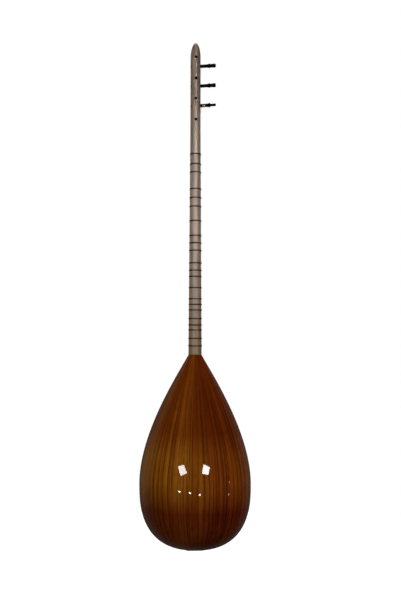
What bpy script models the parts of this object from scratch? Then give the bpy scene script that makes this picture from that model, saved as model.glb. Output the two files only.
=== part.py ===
# Long-neck saz with a staved bowl, tied movable frets and seven strings.
# Metres. +Z runs up the neck to the head, the soundboard faces -Y, the bowl's back faces +Y.
# The origin is on the back of the head, where a wall hook takes it under the lowest side peg.

import math

import bmesh
import bpy
from mathutils import Matrix, Vector

# Fits
CLEARANCE = 0.0003

# Bowl
BOWL_LENGTH = 0.4725
BOWL_WIDTH = 0.273
BOWL_DEPTH = 0.163
WIDEST_FROM_NECK = 0.315
FLARE_SLOPE = 0.48
FLARE_HANDLE = 0.031
BELLY_HANDLE = 0.130
TAIL_FULLNESS = 2.6
STAVE_COUNT = 9
STAVE_THICKNESS = 0.003
TAIL_CAP_RADIUS = 0.028
NECK_BLOCK_STATIONS = 3
TAIL_BLOCK_STATIONS = 3
TAIL_BLOCK_HEIGHT = 0.030
SOUND_HOLE_RADIUS = 0.009
SOUND_HOLE_FROM_RIM = 0.0155

# Soundboard and binding
BOARD_THICKNESS = 0.0028
BOARD_ARCH = 0.003
BINDING_WIDTH = 0.0015

# Neck and head
SCALE_LENGTH = 0.880
NECK_SHARE = 0.625
HEAD_LENGTH = 0.2215
HEAD_ROUNDING = 0.035
HEAD_SET_BACK = 0.3
NECK_WIDTH_AT_BOWL = 0.0324
NECK_WIDTH_AT_NUT = 0.0252
HEAD_WIDTH = 0.0248
NECK_DEPTH_AT_BOWL = 0.0283
NECK_DEPTH_AT_NUT = 0.0235
NECK_ROUNDNESS = 2.3
NECK_EDGE_CHAMFER = 0.001
TENON_WIDTH = 0.012
TENON_DEPTH = 0.014
TENON_LENGTH = 0.030
TENON_FROM_FACE = 0.007

# Frets, each at the ratio by which it raises the open string
FRET_RATIOS = (
    16 / 15, 11 / 10, 44 / 39, 81 / 68, 27 / 22, 81 / 64, 4 / 3, 24 / 17, 16 / 11, 3 / 2, 19 / 12,
    18 / 11, 32 / 19, 16 / 9, 32 / 17, 64 / 33, 2 / 1, 21 / 10, 24 / 11, 9 / 4, 19 / 8, 5 / 2,
)
FRET_WIDTH = 0.0030
FRET_THICKNESS = 0.0008
FRET_CROWN = 0.72

# Pegs
FRONT_PEG_HEIGHTS = (0.030, 0.0815, 0.132, 0.1834)
SIDE_PEG_HEIGHTS = (0.0655, 0.1144, 0.1633)
SIDE_PEG_RISE = math.radians(4.5)
SIDE_PEG_FROM_FACE = 0.0105
PEG_TIP_RADIUS = 0.0034
PEG_TAPER = 1 / 60
PEG_PROUD = 0.0004
PEG_SHANK = 0.0205
COLLAR_RADIUS = 0.0058
COLLAR_LENGTH = 0.0042
GRIP_LENGTH = 0.0138
GRIP_HALF_WIDTH = 0.00485
GRIP_HALF_THICKNESS = 0.0030
FRONT_PEG_TURNS = (20, 75, 110, 160)
SIDE_PEG_TURNS = (0, 90, 90)

# Strings, from the three thin ones of the first course to the pair of the last
STRING_DIAMETERS = (0.00020, 0.00020, 0.00046, 0.00030, 0.00030, 0.00020, 0.00056)
STRING_AT_NUT = (0.0090, 0.0070, 0.0050, -0.0012, -0.0036, -0.0075, -0.0095)
STRING_AT_BRIDGE = (0.0158, 0.0135, 0.0112, 0.0004, -0.0022, -0.0134, -0.0157)
STRING_HEIGHT_AT_NUT = 0.0020
STRING_HEIGHT_AT_BOWL = 0.0040
WINDING_TURNS = 5
WINDING_PITCH = 0.0016
WINDING_FROM_HEAD = 0.0032
WINDING_POINTS_PER_TURN = 12
EDGE_BEND_BEFORE_PEG = 0.016
EDGE_BEND_LENGTH = 0.002

# Nut, bridge and string holder
NUT_LENGTH = 0.0045
NUT_SEAT_DEPTH = 0.0015
NUT_WIDTH = 0.0236
NOTCH_WIDTH = 0.0009
NOTCH_DEPTH = 0.0006
STRING_OVER_BRIDGE = 0.0004
BRIDGE_HEIGHT = 0.011
BRIDGE_BASE_WIDTH = 0.058
BRIDGE_TOP_WIDTH = 0.040
BRIDGE_BASE_THICKNESS = 0.006
BRIDGE_TOP_THICKNESS = 0.0024
BRIDGE_FOOT_WIDTH = 0.006
BRIDGE_MIDDLE_FOOT = 0.016
BRIDGE_ARCH_HEIGHT = 0.0038
BRIDGE_SHOULDER_SHARE = 0.45
HOLDER_WIDTH = 0.040
HOLDER_THICKNESS = 0.006
HOLDER_ABOVE_BOARD = 0.004
HOLDER_BELOW_RIM = 0.005
HOLDER_SLOT_WIDTH = 0.0012
HOLDER_SLOT_DEPTH = 0.0016
STRING_TAIL = 0.006

# Facets
FLARE_STATIONS = 12
TAIL_STATIONS = 11
CAP_STATIONS = 4
STAVE_FACETS = 3
NECK_BACK_FACETS = 13
HEAD_TIP_RINGS = 5
PEG_FACETS = 12
HOLE_FACETS = 20
BOARD_FACETS = 8
SURFACE_STEP = 0.0005
WELD = 1e-6

# Places that follow from the sizes above
NECK_LENGTH = SCALE_LENGTH * NECK_SHARE
HALF_WIDTH = BOWL_WIDTH / 2
DEPTH_RATIO = BOWL_DEPTH / HALF_WIDTH
JOINT_HALF_WIDTH = NECK_WIDTH_AT_BOWL / 2
FACE_Y = -(CLEARANCE + BOARD_THICKNESS)
JOINT_DEPTH = NECK_DEPTH_AT_BOWL + FACE_Y
BRIDGE_FROM_NECK = SCALE_LENGTH - NECK_LENGTH
BOARD_TOP_AT_BRIDGE = FACE_Y - BOARD_ARCH
BRIDGE_TOP_Y = BOARD_TOP_AT_BRIDGE - CLEARANCE - BRIDGE_HEIGHT
STRING_SLOPE = (FACE_Y - STRING_HEIGHT_AT_BOWL - BRIDGE_TOP_Y) / BRIDGE_FROM_NECK
ACTION_SLOPE = (STRING_HEIGHT_AT_BOWL - STRING_HEIGHT_AT_NUT) / NECK_LENGTH
NECK_TILT = math.atan(STRING_SLOPE - ACTION_SLOPE)
HANGER_HEIGHT = NECK_LENGTH + SIDE_PEG_HEIGHTS[0] - COLLAR_RADIUS
PEG_COUNT_AT_FRONT = len(FRONT_PEG_HEIGHTS)


# Scene helpers

def clear_scene():
    for item in list(bpy.data.objects):
        bpy.data.objects.remove(item, do_unlink=True)


def make_material(name, colour, roughness, metallic=0.0):
    material = bpy.data.materials.new(name)
    material.use_nodes = True
    shader = material.node_tree.nodes["Principled BSDF"]
    shader.inputs["Base Color"].default_value = (*colour, 1.0)
    shader.inputs["Roughness"].default_value = roughness
    shader.inputs["Metallic"].default_value = metallic
    material.diffuse_color = (*colour, 1.0)
    return material


def add_object(name, data, parent, material=None):
    item = bpy.data.objects.new(name, data)
    bpy.context.collection.objects.link(item)
    item.parent = parent
    if material is not None:
        data.materials.append(material)
    return item


def add_empty(name, parent=None, location=(0, 0, 0), rotation=(0, 0, 0)):
    empty = bpy.data.objects.new(name, None)
    bpy.context.collection.objects.link(empty)
    empty.parent = parent
    empty.location = location
    empty.rotation_euler = rotation
    return empty


def finish_mesh(bm, name, smooth_angle=None):
    bmesh.ops.remove_doubles(bm, verts=bm.verts, dist=WELD)
    bmesh.ops.recalc_face_normals(bm, faces=bm.faces)
    mesh = bpy.data.meshes.new(name)
    bm.to_mesh(mesh)
    bm.free()
    if smooth_angle is not None:
        mesh.shade_smooth()
        mesh.set_sharp_from_angle(angle=math.radians(smooth_angle))
    return mesh


def extrude_loop(bm, loop, points):
    """Extrudes a closed loop of vertices and moves the new loop onto the points."""
    edges = [bm.edges.get((loop[i - 1], loop[i])) for i in range(len(loop))]
    order = {tuple(vert.co): i for i, vert in enumerate(loop)}
    made = bmesh.ops.extrude_edge_only(bm, edges=edges)["geom"]
    new_loop = [None] * len(loop)
    for vert in made:
        if isinstance(vert, bmesh.types.BMVert):
            new_loop[order[tuple(vert.co)]] = vert
    for vert, point in zip(new_loop, points):
        vert.co = point
    return new_loop


def loft(name, rings, smooth_angle=None, pole=None):
    """A closed solid through rings of points; the last ring can close on a pole."""
    bm = bmesh.new()
    loop = [bm.verts.new(point) for point in rings[0]]
    for i in range(len(loop)):
        bm.edges.new((loop[i - 1], loop[i]))
    bm.faces.new(loop)
    for points in rings[1:]:
        loop = extrude_loop(bm, loop, points)
    if pole is None:
        bm.faces.new(loop)
    else:
        tip = bm.verts.new(pole)
        for i in range(len(loop)):
            bm.faces.new((loop[i - 1], loop[i], tip))
    return finish_mesh(bm, name, smooth_angle)


def add_cut(item, cutter, operation="DIFFERENCE"):
    cut = item.modifiers.new(cutter.name, "BOOLEAN")
    cut.object = cutter
    cut.operation = operation
    cut.solver = "EXACT"
    cutter.hide_render = True
    cutter.display_type = "WIRE"


def add_box(bm, low, high):
    low, high = Vector(low), Vector(high)
    matrix = Matrix.Translation((low + high) / 2) @ Matrix.Diagonal((*(high - low), 1))
    bmesh.ops.create_cube(bm, size=1, matrix=matrix)


def superellipse(angle, half_width, depth, power):
    sine, cosine = math.sin(angle), math.cos(angle)
    x = half_width * math.copysign(abs(sine) ** (2 / power), sine)
    y = depth * math.copysign(abs(cosine) ** (2 / power), cosine)
    return x, y


# Bowl outline and surface

def outline(u):
    """Distance from the neck and half width; u is 0 at the neck, 1 at the widest, 2 at the tail."""
    if u <= 1:
        v = 1 - u
        start, handle, belly, end = v ** 3, 3 * v * v * u, 3 * v * u * u, u ** 3
        s = handle * FLARE_HANDLE + belly * (WIDEST_FROM_NECK - BELLY_HANDLE) + end * WIDEST_FROM_NECK
        flare_width = JOINT_HALF_WIDTH + FLARE_HANDLE * FLARE_SLOPE
        w = start * JOINT_HALF_WIDTH + handle * flare_width + (belly + end) * HALF_WIDTH
        return s, w
    angle = (u - 1) * math.pi / 2
    power = 2 / TAIL_FULLNESS
    s = WIDEST_FROM_NECK + (BOWL_LENGTH - WIDEST_FROM_NECK) * math.sin(angle) ** power
    w = HALF_WIDTH * max(math.cos(angle), 0.0) ** power
    return s, w


def bowl_depth(s, w):
    extra = JOINT_DEPTH - DEPTH_RATIO * JOINT_HALF_WIDTH
    return DEPTH_RATIO * w + extra * max(1 - s / BOWL_LENGTH, 0.0) ** 2


def bowl_point(u, angle):
    s, w = outline(u)
    return Vector((w * math.sin(angle), bowl_depth(s, w) * math.cos(angle), -s))


def bowl_normal(u, angle):
    before, after = max(u - SURFACE_STEP, 0.0), min(u + SURFACE_STEP, 2.0)
    along = bowl_point(after, angle) - bowl_point(before, angle)
    around = bowl_point(u, angle + SURFACE_STEP) - bowl_point(u, angle - SURFACE_STEP)
    return around.cross(along).normalized()


def inside_bowl(u, angle, inset):
    """A point under the outer surface; in the flare each section stays in its own plane."""
    normal = bowl_normal(u, angle)
    if u > 1:
        return bowl_point(u, angle) - normal * inset
    flat = Vector((normal.x, normal.y, 0))
    return bowl_point(u, angle) - flat * inset / flat.length_squared


def around_unit(u, angle):
    return (bowl_point(u, angle + SURFACE_STEP) - bowl_point(u, angle - SURFACE_STEP)).normalized()


def cap_station(half_width):
    """The station of the tail at which the outline has narrowed to this half width."""
    return 1 + math.acos((half_width / HALF_WIDTH) ** (TAIL_FULLNESS / 2)) * 2 / math.pi


CAP_U = cap_station(TAIL_CAP_RADIUS)
CAP_FIT_U = cap_station(TAIL_CAP_RADIUS - CLEARANCE)
FLARE_US = [i / FLARE_STATIONS for i in range(FLARE_STATIONS + 1)]
TAIL_US = [1 + (CAP_U - 1) * i / TAIL_STATIONS for i in range(1, TAIL_STATIONS + 1)]
STAVE_US = FLARE_US + TAIL_US
CAP_US = [CAP_FIT_U + (2 - CAP_FIT_U) * i / CAP_STATIONS for i in range(CAP_STATIONS)]
EDGE_US = STAVE_US + CAP_US[1:] + [2.0]
STAVE_ANGLE = math.pi / STAVE_COUNT


def outline_inset(u, inset):
    """The outline moved inwards; at the neck it stays in the joint's plane."""
    s, w = outline(u)
    if u >= 2:
        return s - inset, 0.0
    s0, w0 = outline(max(u - SURFACE_STEP, 0.0))
    s1, w1 = outline(min(u + SURFACE_STEP, 2.0))
    length = math.hypot(s1 - s0, w1 - w0)
    normal_s, normal_w = -(w1 - w0) / length, (s1 - s0) / length
    if u == 0:
        return s, w - inset / normal_w
    return s - inset * normal_s, max(w - inset * normal_w, 0.0)


def board_under(x, w):
    """The underside of the arched soundboard, which rises in the middle of each section."""
    return -CLEARANCE - BOARD_ARCH * max(w * w - x * x, 0.0) / HALF_WIDTH ** 2


# Bowl pieces

def build_stave(index, bowl_frame, material):
    first = -math.pi / 2 + index * STAVE_ANGLE
    angles = [first + STAVE_ANGLE * i / STAVE_FACETS for i in range(STAVE_FACETS + 1)]
    seam = [CLEARANCE / 2, -CLEARANCE / 2]
    if index == 0:
        seam[0] = 0.0
    if index == STAVE_COUNT - 1:
        seam[1] = 0.0
    shifts = [seam[0]] + [0.0] * (STAVE_FACETS - 1) + [seam[1]]
    rings = []
    for u in STAVE_US:
        outer = [bowl_point(u, a) + around_unit(u, a) * d for a, d in zip(angles, shifts)]
        inner = [
            inside_bowl(u, a, STAVE_THICKNESS) + around_unit(u, a) * d
            for a, d in zip(angles, shifts)
        ]
        rings.append(outer + inner[::-1])
    name = f"stave_{index + 1}"
    return add_object(name, loft(name, rings, 30), bowl_frame, material)


def block_angles():
    count = STAVE_COUNT * STAVE_FACETS
    return [-math.pi / 2 + math.pi * i / count for i in range(count + 1)]


def build_neck_block(bowl_frame, neck_frame, material):
    inset = STAVE_THICKNESS + CLEARANCE
    rings = [
        [inside_bowl(u, angle, inset) for angle in block_angles()]
        for u in FLARE_US[: NECK_BLOCK_STATIONS + 1]
    ]
    block = add_object("neck_block", loft("neck_block", rings, 30), bowl_frame, material)
    bm = bmesh.new()
    add_tenon_box(bm, CLEARANCE, TENON_LENGTH + CLEARANCE)
    mortise = add_object("mortise_cutter", finish_mesh(bm, "mortise_cutter"), neck_frame)
    add_cut(block, mortise)
    return block


def build_tail_block(bowl_frame, material):
    inset = STAVE_THICKNESS + CLEARANCE
    angles = block_angles()
    seat_us = STAVE_US[-TAIL_BLOCK_STATIONS:] + [CAP_FIT_U]
    rings = [[inside_bowl(u, angle, inset) for angle in angles] for u in seat_us]
    top = -(BOWL_LENGTH - TAIL_BLOCK_HEIGHT)
    rings.insert(0, [Vector((point.x, point.y, top)) for point in rings[0]])
    for u in CAP_US:
        rings.append([bowl_point(u, angle) for angle in angles])
    mesh = loft("tail_block", rings, 30, pole=(0, 0, -BOWL_LENGTH))
    block = add_object("tail_block", mesh, bowl_frame, material)
    bm = bmesh.new()
    bmesh.ops.create_cone(
        bm,
        cap_ends=True,
        segments=HOLE_FACETS,
        radius1=SOUND_HOLE_RADIUS,
        radius2=SOUND_HOLE_RADIUS,
        depth=4 * TAIL_BLOCK_HEIGHT,
    )
    cutter = add_object("sound_hole_cutter", finish_mesh(bm, "sound_hole_cutter"), bowl_frame)
    cutter.location = (0, SOUND_HOLE_FROM_RIM, -BOWL_LENGTH)
    add_cut(block, cutter)
    return block


def build_soundboard(bowl_frame, material):
    """An arched plate inside the binding, with its edge on the staves' rim."""
    bm = bmesh.new()
    layers = {}
    for i, u in enumerate(EDGE_US):
        s, half = outline_inset(u, BINDING_WIDTH + CLEARANCE)
        outer = max(outline(u)[1], half)
        for k in range(BOARD_FACETS + 1):
            x = half * (2 * k / BOARD_FACETS - 1)
            under = board_under(x, outer)
            layers[i, k, 0] = bm.verts.new((x, under, -s))
            layers[i, k, 1] = bm.verts.new((x, under - BOARD_THICKNESS, -s))
    last = len(EDGE_US) - 1
    for i in range(last):
        for k in range(BOARD_FACETS):
            for side in (0, 1):
                corners = [(i, k), (i + 1, k), (i + 1, k + 1), (i, k + 1)]
                bm.faces.new([layers[a, b, side] for a, b in corners])
        for k in (0, BOARD_FACETS):
            bm.faces.new([layers[i, k, 0], layers[i + 1, k, 0], layers[i + 1, k, 1], layers[i, k, 1]])
    for k in range(BOARD_FACETS):
        bm.faces.new([layers[0, k, 0], layers[0, k + 1, 0], layers[0, k + 1, 1], layers[0, k, 1]])
    return add_object("soundboard", finish_mesh(bm, "soundboard", 20), bowl_frame, material)


def build_binding(bowl_frame, material):
    """A strip round the soundboard's edge, from the neck round the tail and back."""
    low, high = -CLEARANCE - BOARD_THICKNESS, -CLEARANCE
    rings = []
    stations = [(u, 1) for u in EDGE_US] + [(u, -1) for u in reversed(EDGE_US[:-1])]
    for u, side in stations:
        s, w = outline(u)
        s_in, w_in = outline_inset(u, BINDING_WIDTH)
        rings.append([
            Vector((side * w, low, -s)),
            Vector((side * w, high, -s)),
            Vector((side * w_in, high, -s_in)),
            Vector((side * w_in, low, -s_in)),
        ])
    mesh = loft("soundboard_binding", rings, 30)
    return add_object("soundboard_binding", mesh, bowl_frame, material)


# Neck and head, in a frame whose Z runs along the neck's face and whose Y is the depth below it

def neck_half_width(height):
    share = height / NECK_LENGTH
    if share <= 1:
        return (NECK_WIDTH_AT_BOWL + (NECK_WIDTH_AT_NUT - NECK_WIDTH_AT_BOWL) * share) / 2
    above = (height - NECK_LENGTH) / (HEAD_LENGTH - HEAD_ROUNDING)
    return (NECK_WIDTH_AT_NUT + (HEAD_WIDTH - NECK_WIDTH_AT_NUT) * min(above, 1.0)) / 2


def neck_depth(height):
    share = min(height / NECK_LENGTH, 1.0)
    return NECK_DEPTH_AT_BOWL + (NECK_DEPTH_AT_NUT - NECK_DEPTH_AT_BOWL) * share


def neck_section(half_width, depth, chamfer):
    """The neck's outline: a flat face with broken edges and a round back."""
    side = [
        superellipse(-math.pi / 2 + math.pi * i / NECK_BACK_FACETS, half_width, depth - chamfer,
                     NECK_ROUNDNESS)
        for i in range(NECK_BACK_FACETS + 1)
    ]
    points = [(x, chamfer + y) for x, y in side]
    return points + [(half_width - chamfer, 0.0), (chamfer - half_width, 0.0)]


def build_neck(neck_frame, material):
    rings = []
    joint = neck_section(neck_half_width(0), neck_depth(0), NECK_EDGE_CHAMFER)
    sine, cosine = math.sin(NECK_TILT), math.cos(NECK_TILT)
    rings.append([Vector((x, y, (CLEARANCE + y * sine) / cosine)) for x, y in joint])
    shoulder = NECK_LENGTH + HEAD_LENGTH - HEAD_ROUNDING
    for height in (NECK_LENGTH, shoulder):
        section = neck_section(neck_half_width(height), neck_depth(height), NECK_EDGE_CHAMFER)
        rings.append([Vector((x, y, height)) for x, y in section])
    full_width, full_depth = neck_half_width(shoulder), neck_depth(shoulder)
    for i in range(1, HEAD_TIP_RINGS + 1):
        angle = math.pi / 2 * i / (HEAD_TIP_RINGS + 1)
        share = math.cos(angle)
        height = shoulder + HEAD_ROUNDING * math.sin(angle)
        set_back = full_depth * (1 - share) * HEAD_SET_BACK
        section = neck_section(full_width * share, full_depth * share, NECK_EDGE_CHAMFER * share)
        rings.append([Vector((x, y + set_back, height)) for x, y in section])
    tip = (0, full_depth * HEAD_SET_BACK, NECK_LENGTH + HEAD_LENGTH)
    neck = add_object("neck", loft("neck", rings, 30, pole=tip), neck_frame, material)
    bm = bmesh.new()
    add_tenon_box(bm, 0.0, TENON_LENGTH)
    tenon = add_object("tenon_guide", finish_mesh(bm, "tenon_guide"), neck_frame)
    add_cut(neck, tenon, "UNION")
    bm = bmesh.new()
    seat = NUT_LENGTH / 2 + CLEARANCE
    reach = NECK_WIDTH_AT_BOWL
    add_box(bm, (-reach, -reach, NECK_LENGTH - seat), (reach, NUT_SEAT_DEPTH, NECK_LENGTH + seat))
    slot = add_object("nut_seat_cutter", finish_mesh(bm, "nut_seat_cutter"), neck_frame)
    add_cut(neck, slot)
    holes = add_object("peg_hole_cutter", peg_hole_mesh(), neck_frame)
    add_cut(neck, holes)
    return neck


def add_tenon_box(bm, margin, length):
    half = TENON_WIDTH / 2 + margin
    low = (-half, TENON_FROM_FACE - margin, -length)
    high = (half, TENON_FROM_FACE + TENON_DEPTH + margin, TENON_FROM_FACE)
    add_box(bm, low, high)


def fret_height(ratio):
    return NECK_LENGTH - SCALE_LENGTH * (1 - 1 / ratio)


def offset_section(points, distance):
    """A closed outline moved outwards by a distance, with mitred corners."""
    moved = []
    count = len(points)
    for i in range(count):
        before, here, after = (Vector(points[j % count]) for j in (i - 1, i, i + 1))
        normal_in = Vector((-(here - before).y, (here - before).x)).normalized()
        normal_out = Vector((-(after - here).y, (after - here).x)).normalized()
        mitre = (normal_in + normal_out).normalized()
        moved.append(here + mitre * distance / mitre.dot(normal_in))
    return moved


def build_fret(index, ratio, neck_frame, material):
    height = fret_height(ratio)
    section = neck_section(neck_half_width(height), neck_depth(height), NECK_EDGE_CHAMFER)
    inner = offset_section(section, CLEARANCE)
    outer = offset_section(section, CLEARANCE + FRET_THICKNESS)
    corners = [(inner, -0.5), (outer, -0.5 * FRET_CROWN), (outer, 0.5 * FRET_CROWN), (inner, 0.5)]
    rings = []
    for k in range(len(section)):
        rings.append([Vector((*ring[k], side * FRET_WIDTH)) for ring, side in corners])
    bm = bmesh.new()
    loops = [[bm.verts.new(point) for point in ring] for ring in rings]
    for k in range(len(loops)):
        for j in range(len(corners)):
            bm.faces.new((loops[k - 1][j - 1], loops[k - 1][j], loops[k][j], loops[k][j - 1]))
    name = f"fret_{index + 1:02d}"
    fret = add_object(name, finish_mesh(bm, name, 40), neck_frame, material)
    fret.location = (0, 0, height)
    return fret


# Pegs and their windings, in a frame whose Z runs along the peg from the head to the grip

def peg_radius(along, seat):
    return PEG_TIP_RADIUS + PEG_TAPER * (seat + PEG_PROUD + along)


def peg_profile(seat):
    """Stations along a peg: position, half width, half thickness and roundness."""
    tip = -seat - PEG_PROUD
    shank = peg_radius(PEG_SHANK, seat)
    collar = PEG_SHANK + COLLAR_LENGTH
    end = collar + GRIP_LENGTH
    wide, thin = GRIP_HALF_WIDTH, GRIP_HALF_THICKNESS
    return (
        (tip, PEG_TIP_RADIUS * 0.7, PEG_TIP_RADIUS * 0.7, 2),
        (tip + 0.0008, PEG_TIP_RADIUS, PEG_TIP_RADIUS, 2),
        (PEG_SHANK, shank, shank, 2),
        (PEG_SHANK + COLLAR_LENGTH * 0.3, COLLAR_RADIUS, COLLAR_RADIUS, 2),
        (PEG_SHANK + COLLAR_LENGTH * 0.7, COLLAR_RADIUS, COLLAR_RADIUS, 2),
        (collar, wide * 0.86, thin * 1.15, 2.4),
        (collar + GRIP_LENGTH * 0.12, wide * 0.92, thin, 3),
        (end - GRIP_LENGTH * 0.28, wide, thin, 3),
        (end - GRIP_LENGTH * 0.1, wide * 0.9, thin * 0.9, 2.6),
        (end, wide * 0.6, thin * 0.6, 2.2),
    )


def peg_mesh(name, seat):
    rings = []
    for along, half_width, half_thickness, power in peg_profile(seat):
        ring = []
        for i in range(PEG_FACETS):
            angle = 2 * math.pi * (i + 0.5) / PEG_FACETS
            x, y = superellipse(angle, half_width, half_thickness, power)
            ring.append(Vector((x, y, along)))
        rings.append(ring)
    return loft(name, rings, 35)


def place_front_peg(item, height):
    """The frame of a front peg, which stands square on the face of the head."""
    item.location = (0, 0, NECK_LENGTH + height)
    item.rotation_mode = "QUATERNION"
    item.rotation_quaternion = Vector((0, -1, 0)).to_track_quat("Z", "X")


def place_side_peg(item, height):
    """The frame of a side peg, which leaves the edge of the head and rises outwards."""
    axis = Vector((-math.cos(SIDE_PEG_RISE), 0, math.sin(SIDE_PEG_RISE)))
    item.location = (-side_peg_entry(height), SIDE_PEG_FROM_FACE, NECK_LENGTH + height)
    item.rotation_mode = "QUATERNION"
    item.rotation_quaternion = axis.to_track_quat("Z", "Y")


def side_peg_entry(height):
    """Half the head's width at the depth where the side pegs go through."""
    full = NECK_LENGTH + height
    depth = neck_depth(full) - NECK_EDGE_CHAMFER
    share = (SIDE_PEG_FROM_FACE - NECK_EDGE_CHAMFER) / depth
    return neck_half_width(full) * (1 - share ** NECK_ROUNDNESS) ** (1 / NECK_ROUNDNESS)


def front_seat(height):
    return neck_depth(NECK_LENGTH + height)


def side_seat(height):
    return 2 * side_peg_entry(height) / math.cos(SIDE_PEG_RISE)


def peg_hole_mesh():
    """Tapered holes through the head, a running fit round each peg."""
    bm = bmesh.new()
    over = COLLAR_RADIUS
    places = [(place_front_peg, front_seat, height) for height in FRONT_PEG_HEIGHTS]
    places += [(place_side_peg, side_seat, height) for height in SIDE_PEG_HEIGHTS]
    for place, seat_of, height in places:
        guide = add_empty("peg_hole_guide")
        place(guide, height)
        matrix = guide.rotation_quaternion.to_matrix().to_4x4()
        matrix.translation = guide.location
        bpy.data.objects.remove(guide)
        seat = seat_of(height)
        length = seat + 2 * over
        bmesh.ops.create_cone(
            bm,
            cap_ends=True,
            segments=HOLE_FACETS,
            radius1=peg_radius(-seat - over, seat) + CLEARANCE,
            radius2=peg_radius(over, seat) + CLEARANCE,
            depth=length,
            matrix=matrix @ Matrix.Translation((0, 0, -seat / 2)),
        )
    return finish_mesh(bm, "peg_hole_cutter")


def winding_radius(seat, diameter):
    """From the peg's axis to the middle of the wire."""
    outer_end = WINDING_FROM_HEAD + WINDING_TURNS * WINDING_PITCH
    return peg_radius(outer_end, seat) + CLEARANCE + diameter / 2


def add_tube(name, points, diameter, parent, material, resolution):
    curve = bpy.data.curves.new(name, "CURVE")
    curve.dimensions = "3D"
    curve.bevel_depth = diameter / 2
    curve.bevel_resolution = resolution
    curve.use_fill_caps = True
    spline = curve.splines.new("POLY")
    spline.points.add(len(points) - 1)
    for target, point in zip(spline.points, points):
        target.co = (*point, 1)
    spline.use_smooth = True
    return add_object(name, curve, parent, material)


def least_gap(points, diameter):
    """The least gap from one turn of a tube to the next, measured on its points."""
    apart = WINDING_POINTS_PER_TURN // 2
    nearest = min(
        (points[i] - points[j]).length
        for i in range(len(points))
        for j in range(i + apart, len(points))
    )
    return nearest - diameter


def build_winding(number, seat, start_angle, sense, peg_frame, material):
    """The wire's turns round a peg, from the turn nearest the head outwards."""
    diameter = STRING_DIAMETERS[number - 1]
    radius = winding_radius(seat, diameter)
    points = []
    count = WINDING_TURNS * WINDING_POINTS_PER_TURN
    for i in range(count + 1):
        turn = i / WINDING_POINTS_PER_TURN
        angle = start_angle + sense * 2 * math.pi * turn
        along = WINDING_FROM_HEAD + WINDING_PITCH * turn
        points.append(Vector((radius * math.cos(angle), radius * math.sin(angle), along)))
    name = f"string_{number}_winding"
    print(f"{name}: least gap between turns {least_gap(points, diameter) * 1000:.2f} mm")
    return add_tube(name, points, diameter, peg_frame, material, 0)


def build_peg(name, place, height, seat, turn, neck_frame, material):
    """A frame on the peg's axis, and the peg turned about it."""
    frame = add_empty(f"{name}_axis", neck_frame)
    place(frame, height)
    peg = add_object(name, peg_mesh(name, seat), frame, material)
    peg.rotation_euler = (0, 0, math.radians(turn))
    return frame


# Strings

def to_bowl(point):
    """From the neck's frame to the bowl's."""
    return Matrix.Rotation(-NECK_TILT, 3, "X") @ Vector(point) + Vector((0, FACE_Y, 0))


def front_peg_end(number, side):
    height = FRONT_PEG_HEIGHTS[PEG_COUNT_AT_FRONT - number]
    diameter = STRING_DIAMETERS[number - 1]
    off_axis = winding_radius(front_seat(height), diameter) + diameter + CLEARANCE
    end = Vector((side * off_axis, -WINDING_FROM_HEAD, NECK_LENGTH + height))
    return [end]


def side_peg_end(number):
    """Over the edge of the head, then to the front of the winding on the side peg."""
    height = SIDE_PEG_HEIGHTS[len(STRING_DIAMETERS) - number]
    diameter = STRING_DIAMETERS[number - 1]
    peg_height = NECK_LENGTH + height
    half = neck_half_width(peg_height)
    away = 1.5 * CLEARANCE + diameter / 2
    bend = peg_height - EDGE_BEND_BEFORE_PEG
    over_face = Vector((NECK_EDGE_CHAMFER - half, -away, bend))
    past_edge = Vector((-half - away, NECK_EDGE_CHAMFER, bend + EDGE_BEND_LENGTH))
    radius = winding_radius(side_seat(height), diameter) + diameter + CLEARANCE
    centre_y = SIDE_PEG_FROM_FACE
    centre_z = peg_height + WINDING_FROM_HEAD * math.sin(SIDE_PEG_RISE)
    down, back = past_edge.z - centre_z, past_edge.y - centre_y
    reach = math.hypot(down, back)
    angle = math.atan2(back, down) - math.acos(radius / reach)
    side = Vector((
        -side_peg_entry(height) - WINDING_FROM_HEAD * math.cos(SIDE_PEG_RISE),
        centre_y + radius * math.sin(angle),
        centre_z + radius * math.cos(angle),
    ))
    return [over_face, past_edge, side]


def string_points(number):
    """From the peg over the nut and the bridge to the holder, down behind it."""
    radius = STRING_DIAMETERS[number - 1] / 2
    at_nut, at_bridge = STRING_AT_NUT[number - 1], STRING_AT_BRIDGE[number - 1]
    over = CLEARANCE + radius
    nut = Vector((at_nut, -STRING_HEIGHT_AT_NUT - over, NECK_LENGTH))
    if number <= PEG_COUNT_AT_FRONT:
        side = -1 if number == PEG_COUNT_AT_FRONT else 1
        head = front_peg_end(number, side)
    else:
        head = side_peg_end(number)
    points = [to_bowl(point) for point in reversed(head)] + [to_bowl(nut)]
    bridge_y = BRIDGE_TOP_Y + NOTCH_DEPTH - STRING_OVER_BRIDGE - radius
    points.append(Vector((at_bridge, bridge_y, -BRIDGE_FROM_NECK)))
    slot_y = FACE_Y - HOLDER_ABOVE_BOARD + HOLDER_SLOT_DEPTH - over
    behind = -(BOWL_LENGTH + CLEARANCE + HOLDER_THICKNESS + over)
    points.append(Vector((at_bridge, slot_y, -BOWL_LENGTH)))
    points.append(Vector((at_bridge, slot_y, behind)))
    points.append(Vector((at_bridge, slot_y + STRING_TAIL, behind)))
    return points


def build_string(number, bowl_frame, material):
    points = string_points(number)
    diameter = STRING_DIAMETERS[number - 1]
    return add_tube(f"string_{number}", points, diameter, bowl_frame, material, 2)


# Nut, bridge and string holder: plates whose outline carries one notch for each string

def notched_edge(places, width, depth, level, square=False):
    """The points along an edge at one level, with a notch at each place, from -X to +X."""
    points = []
    for x in sorted(places):
        half = width / 2
        points.append((x - half, level))
        if square:
            points.append((x - half, level + depth))
            points.append((x + half, level + depth))
        else:
            points.append((x, level + depth))
        points.append((x + half, level))
    return points


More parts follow.
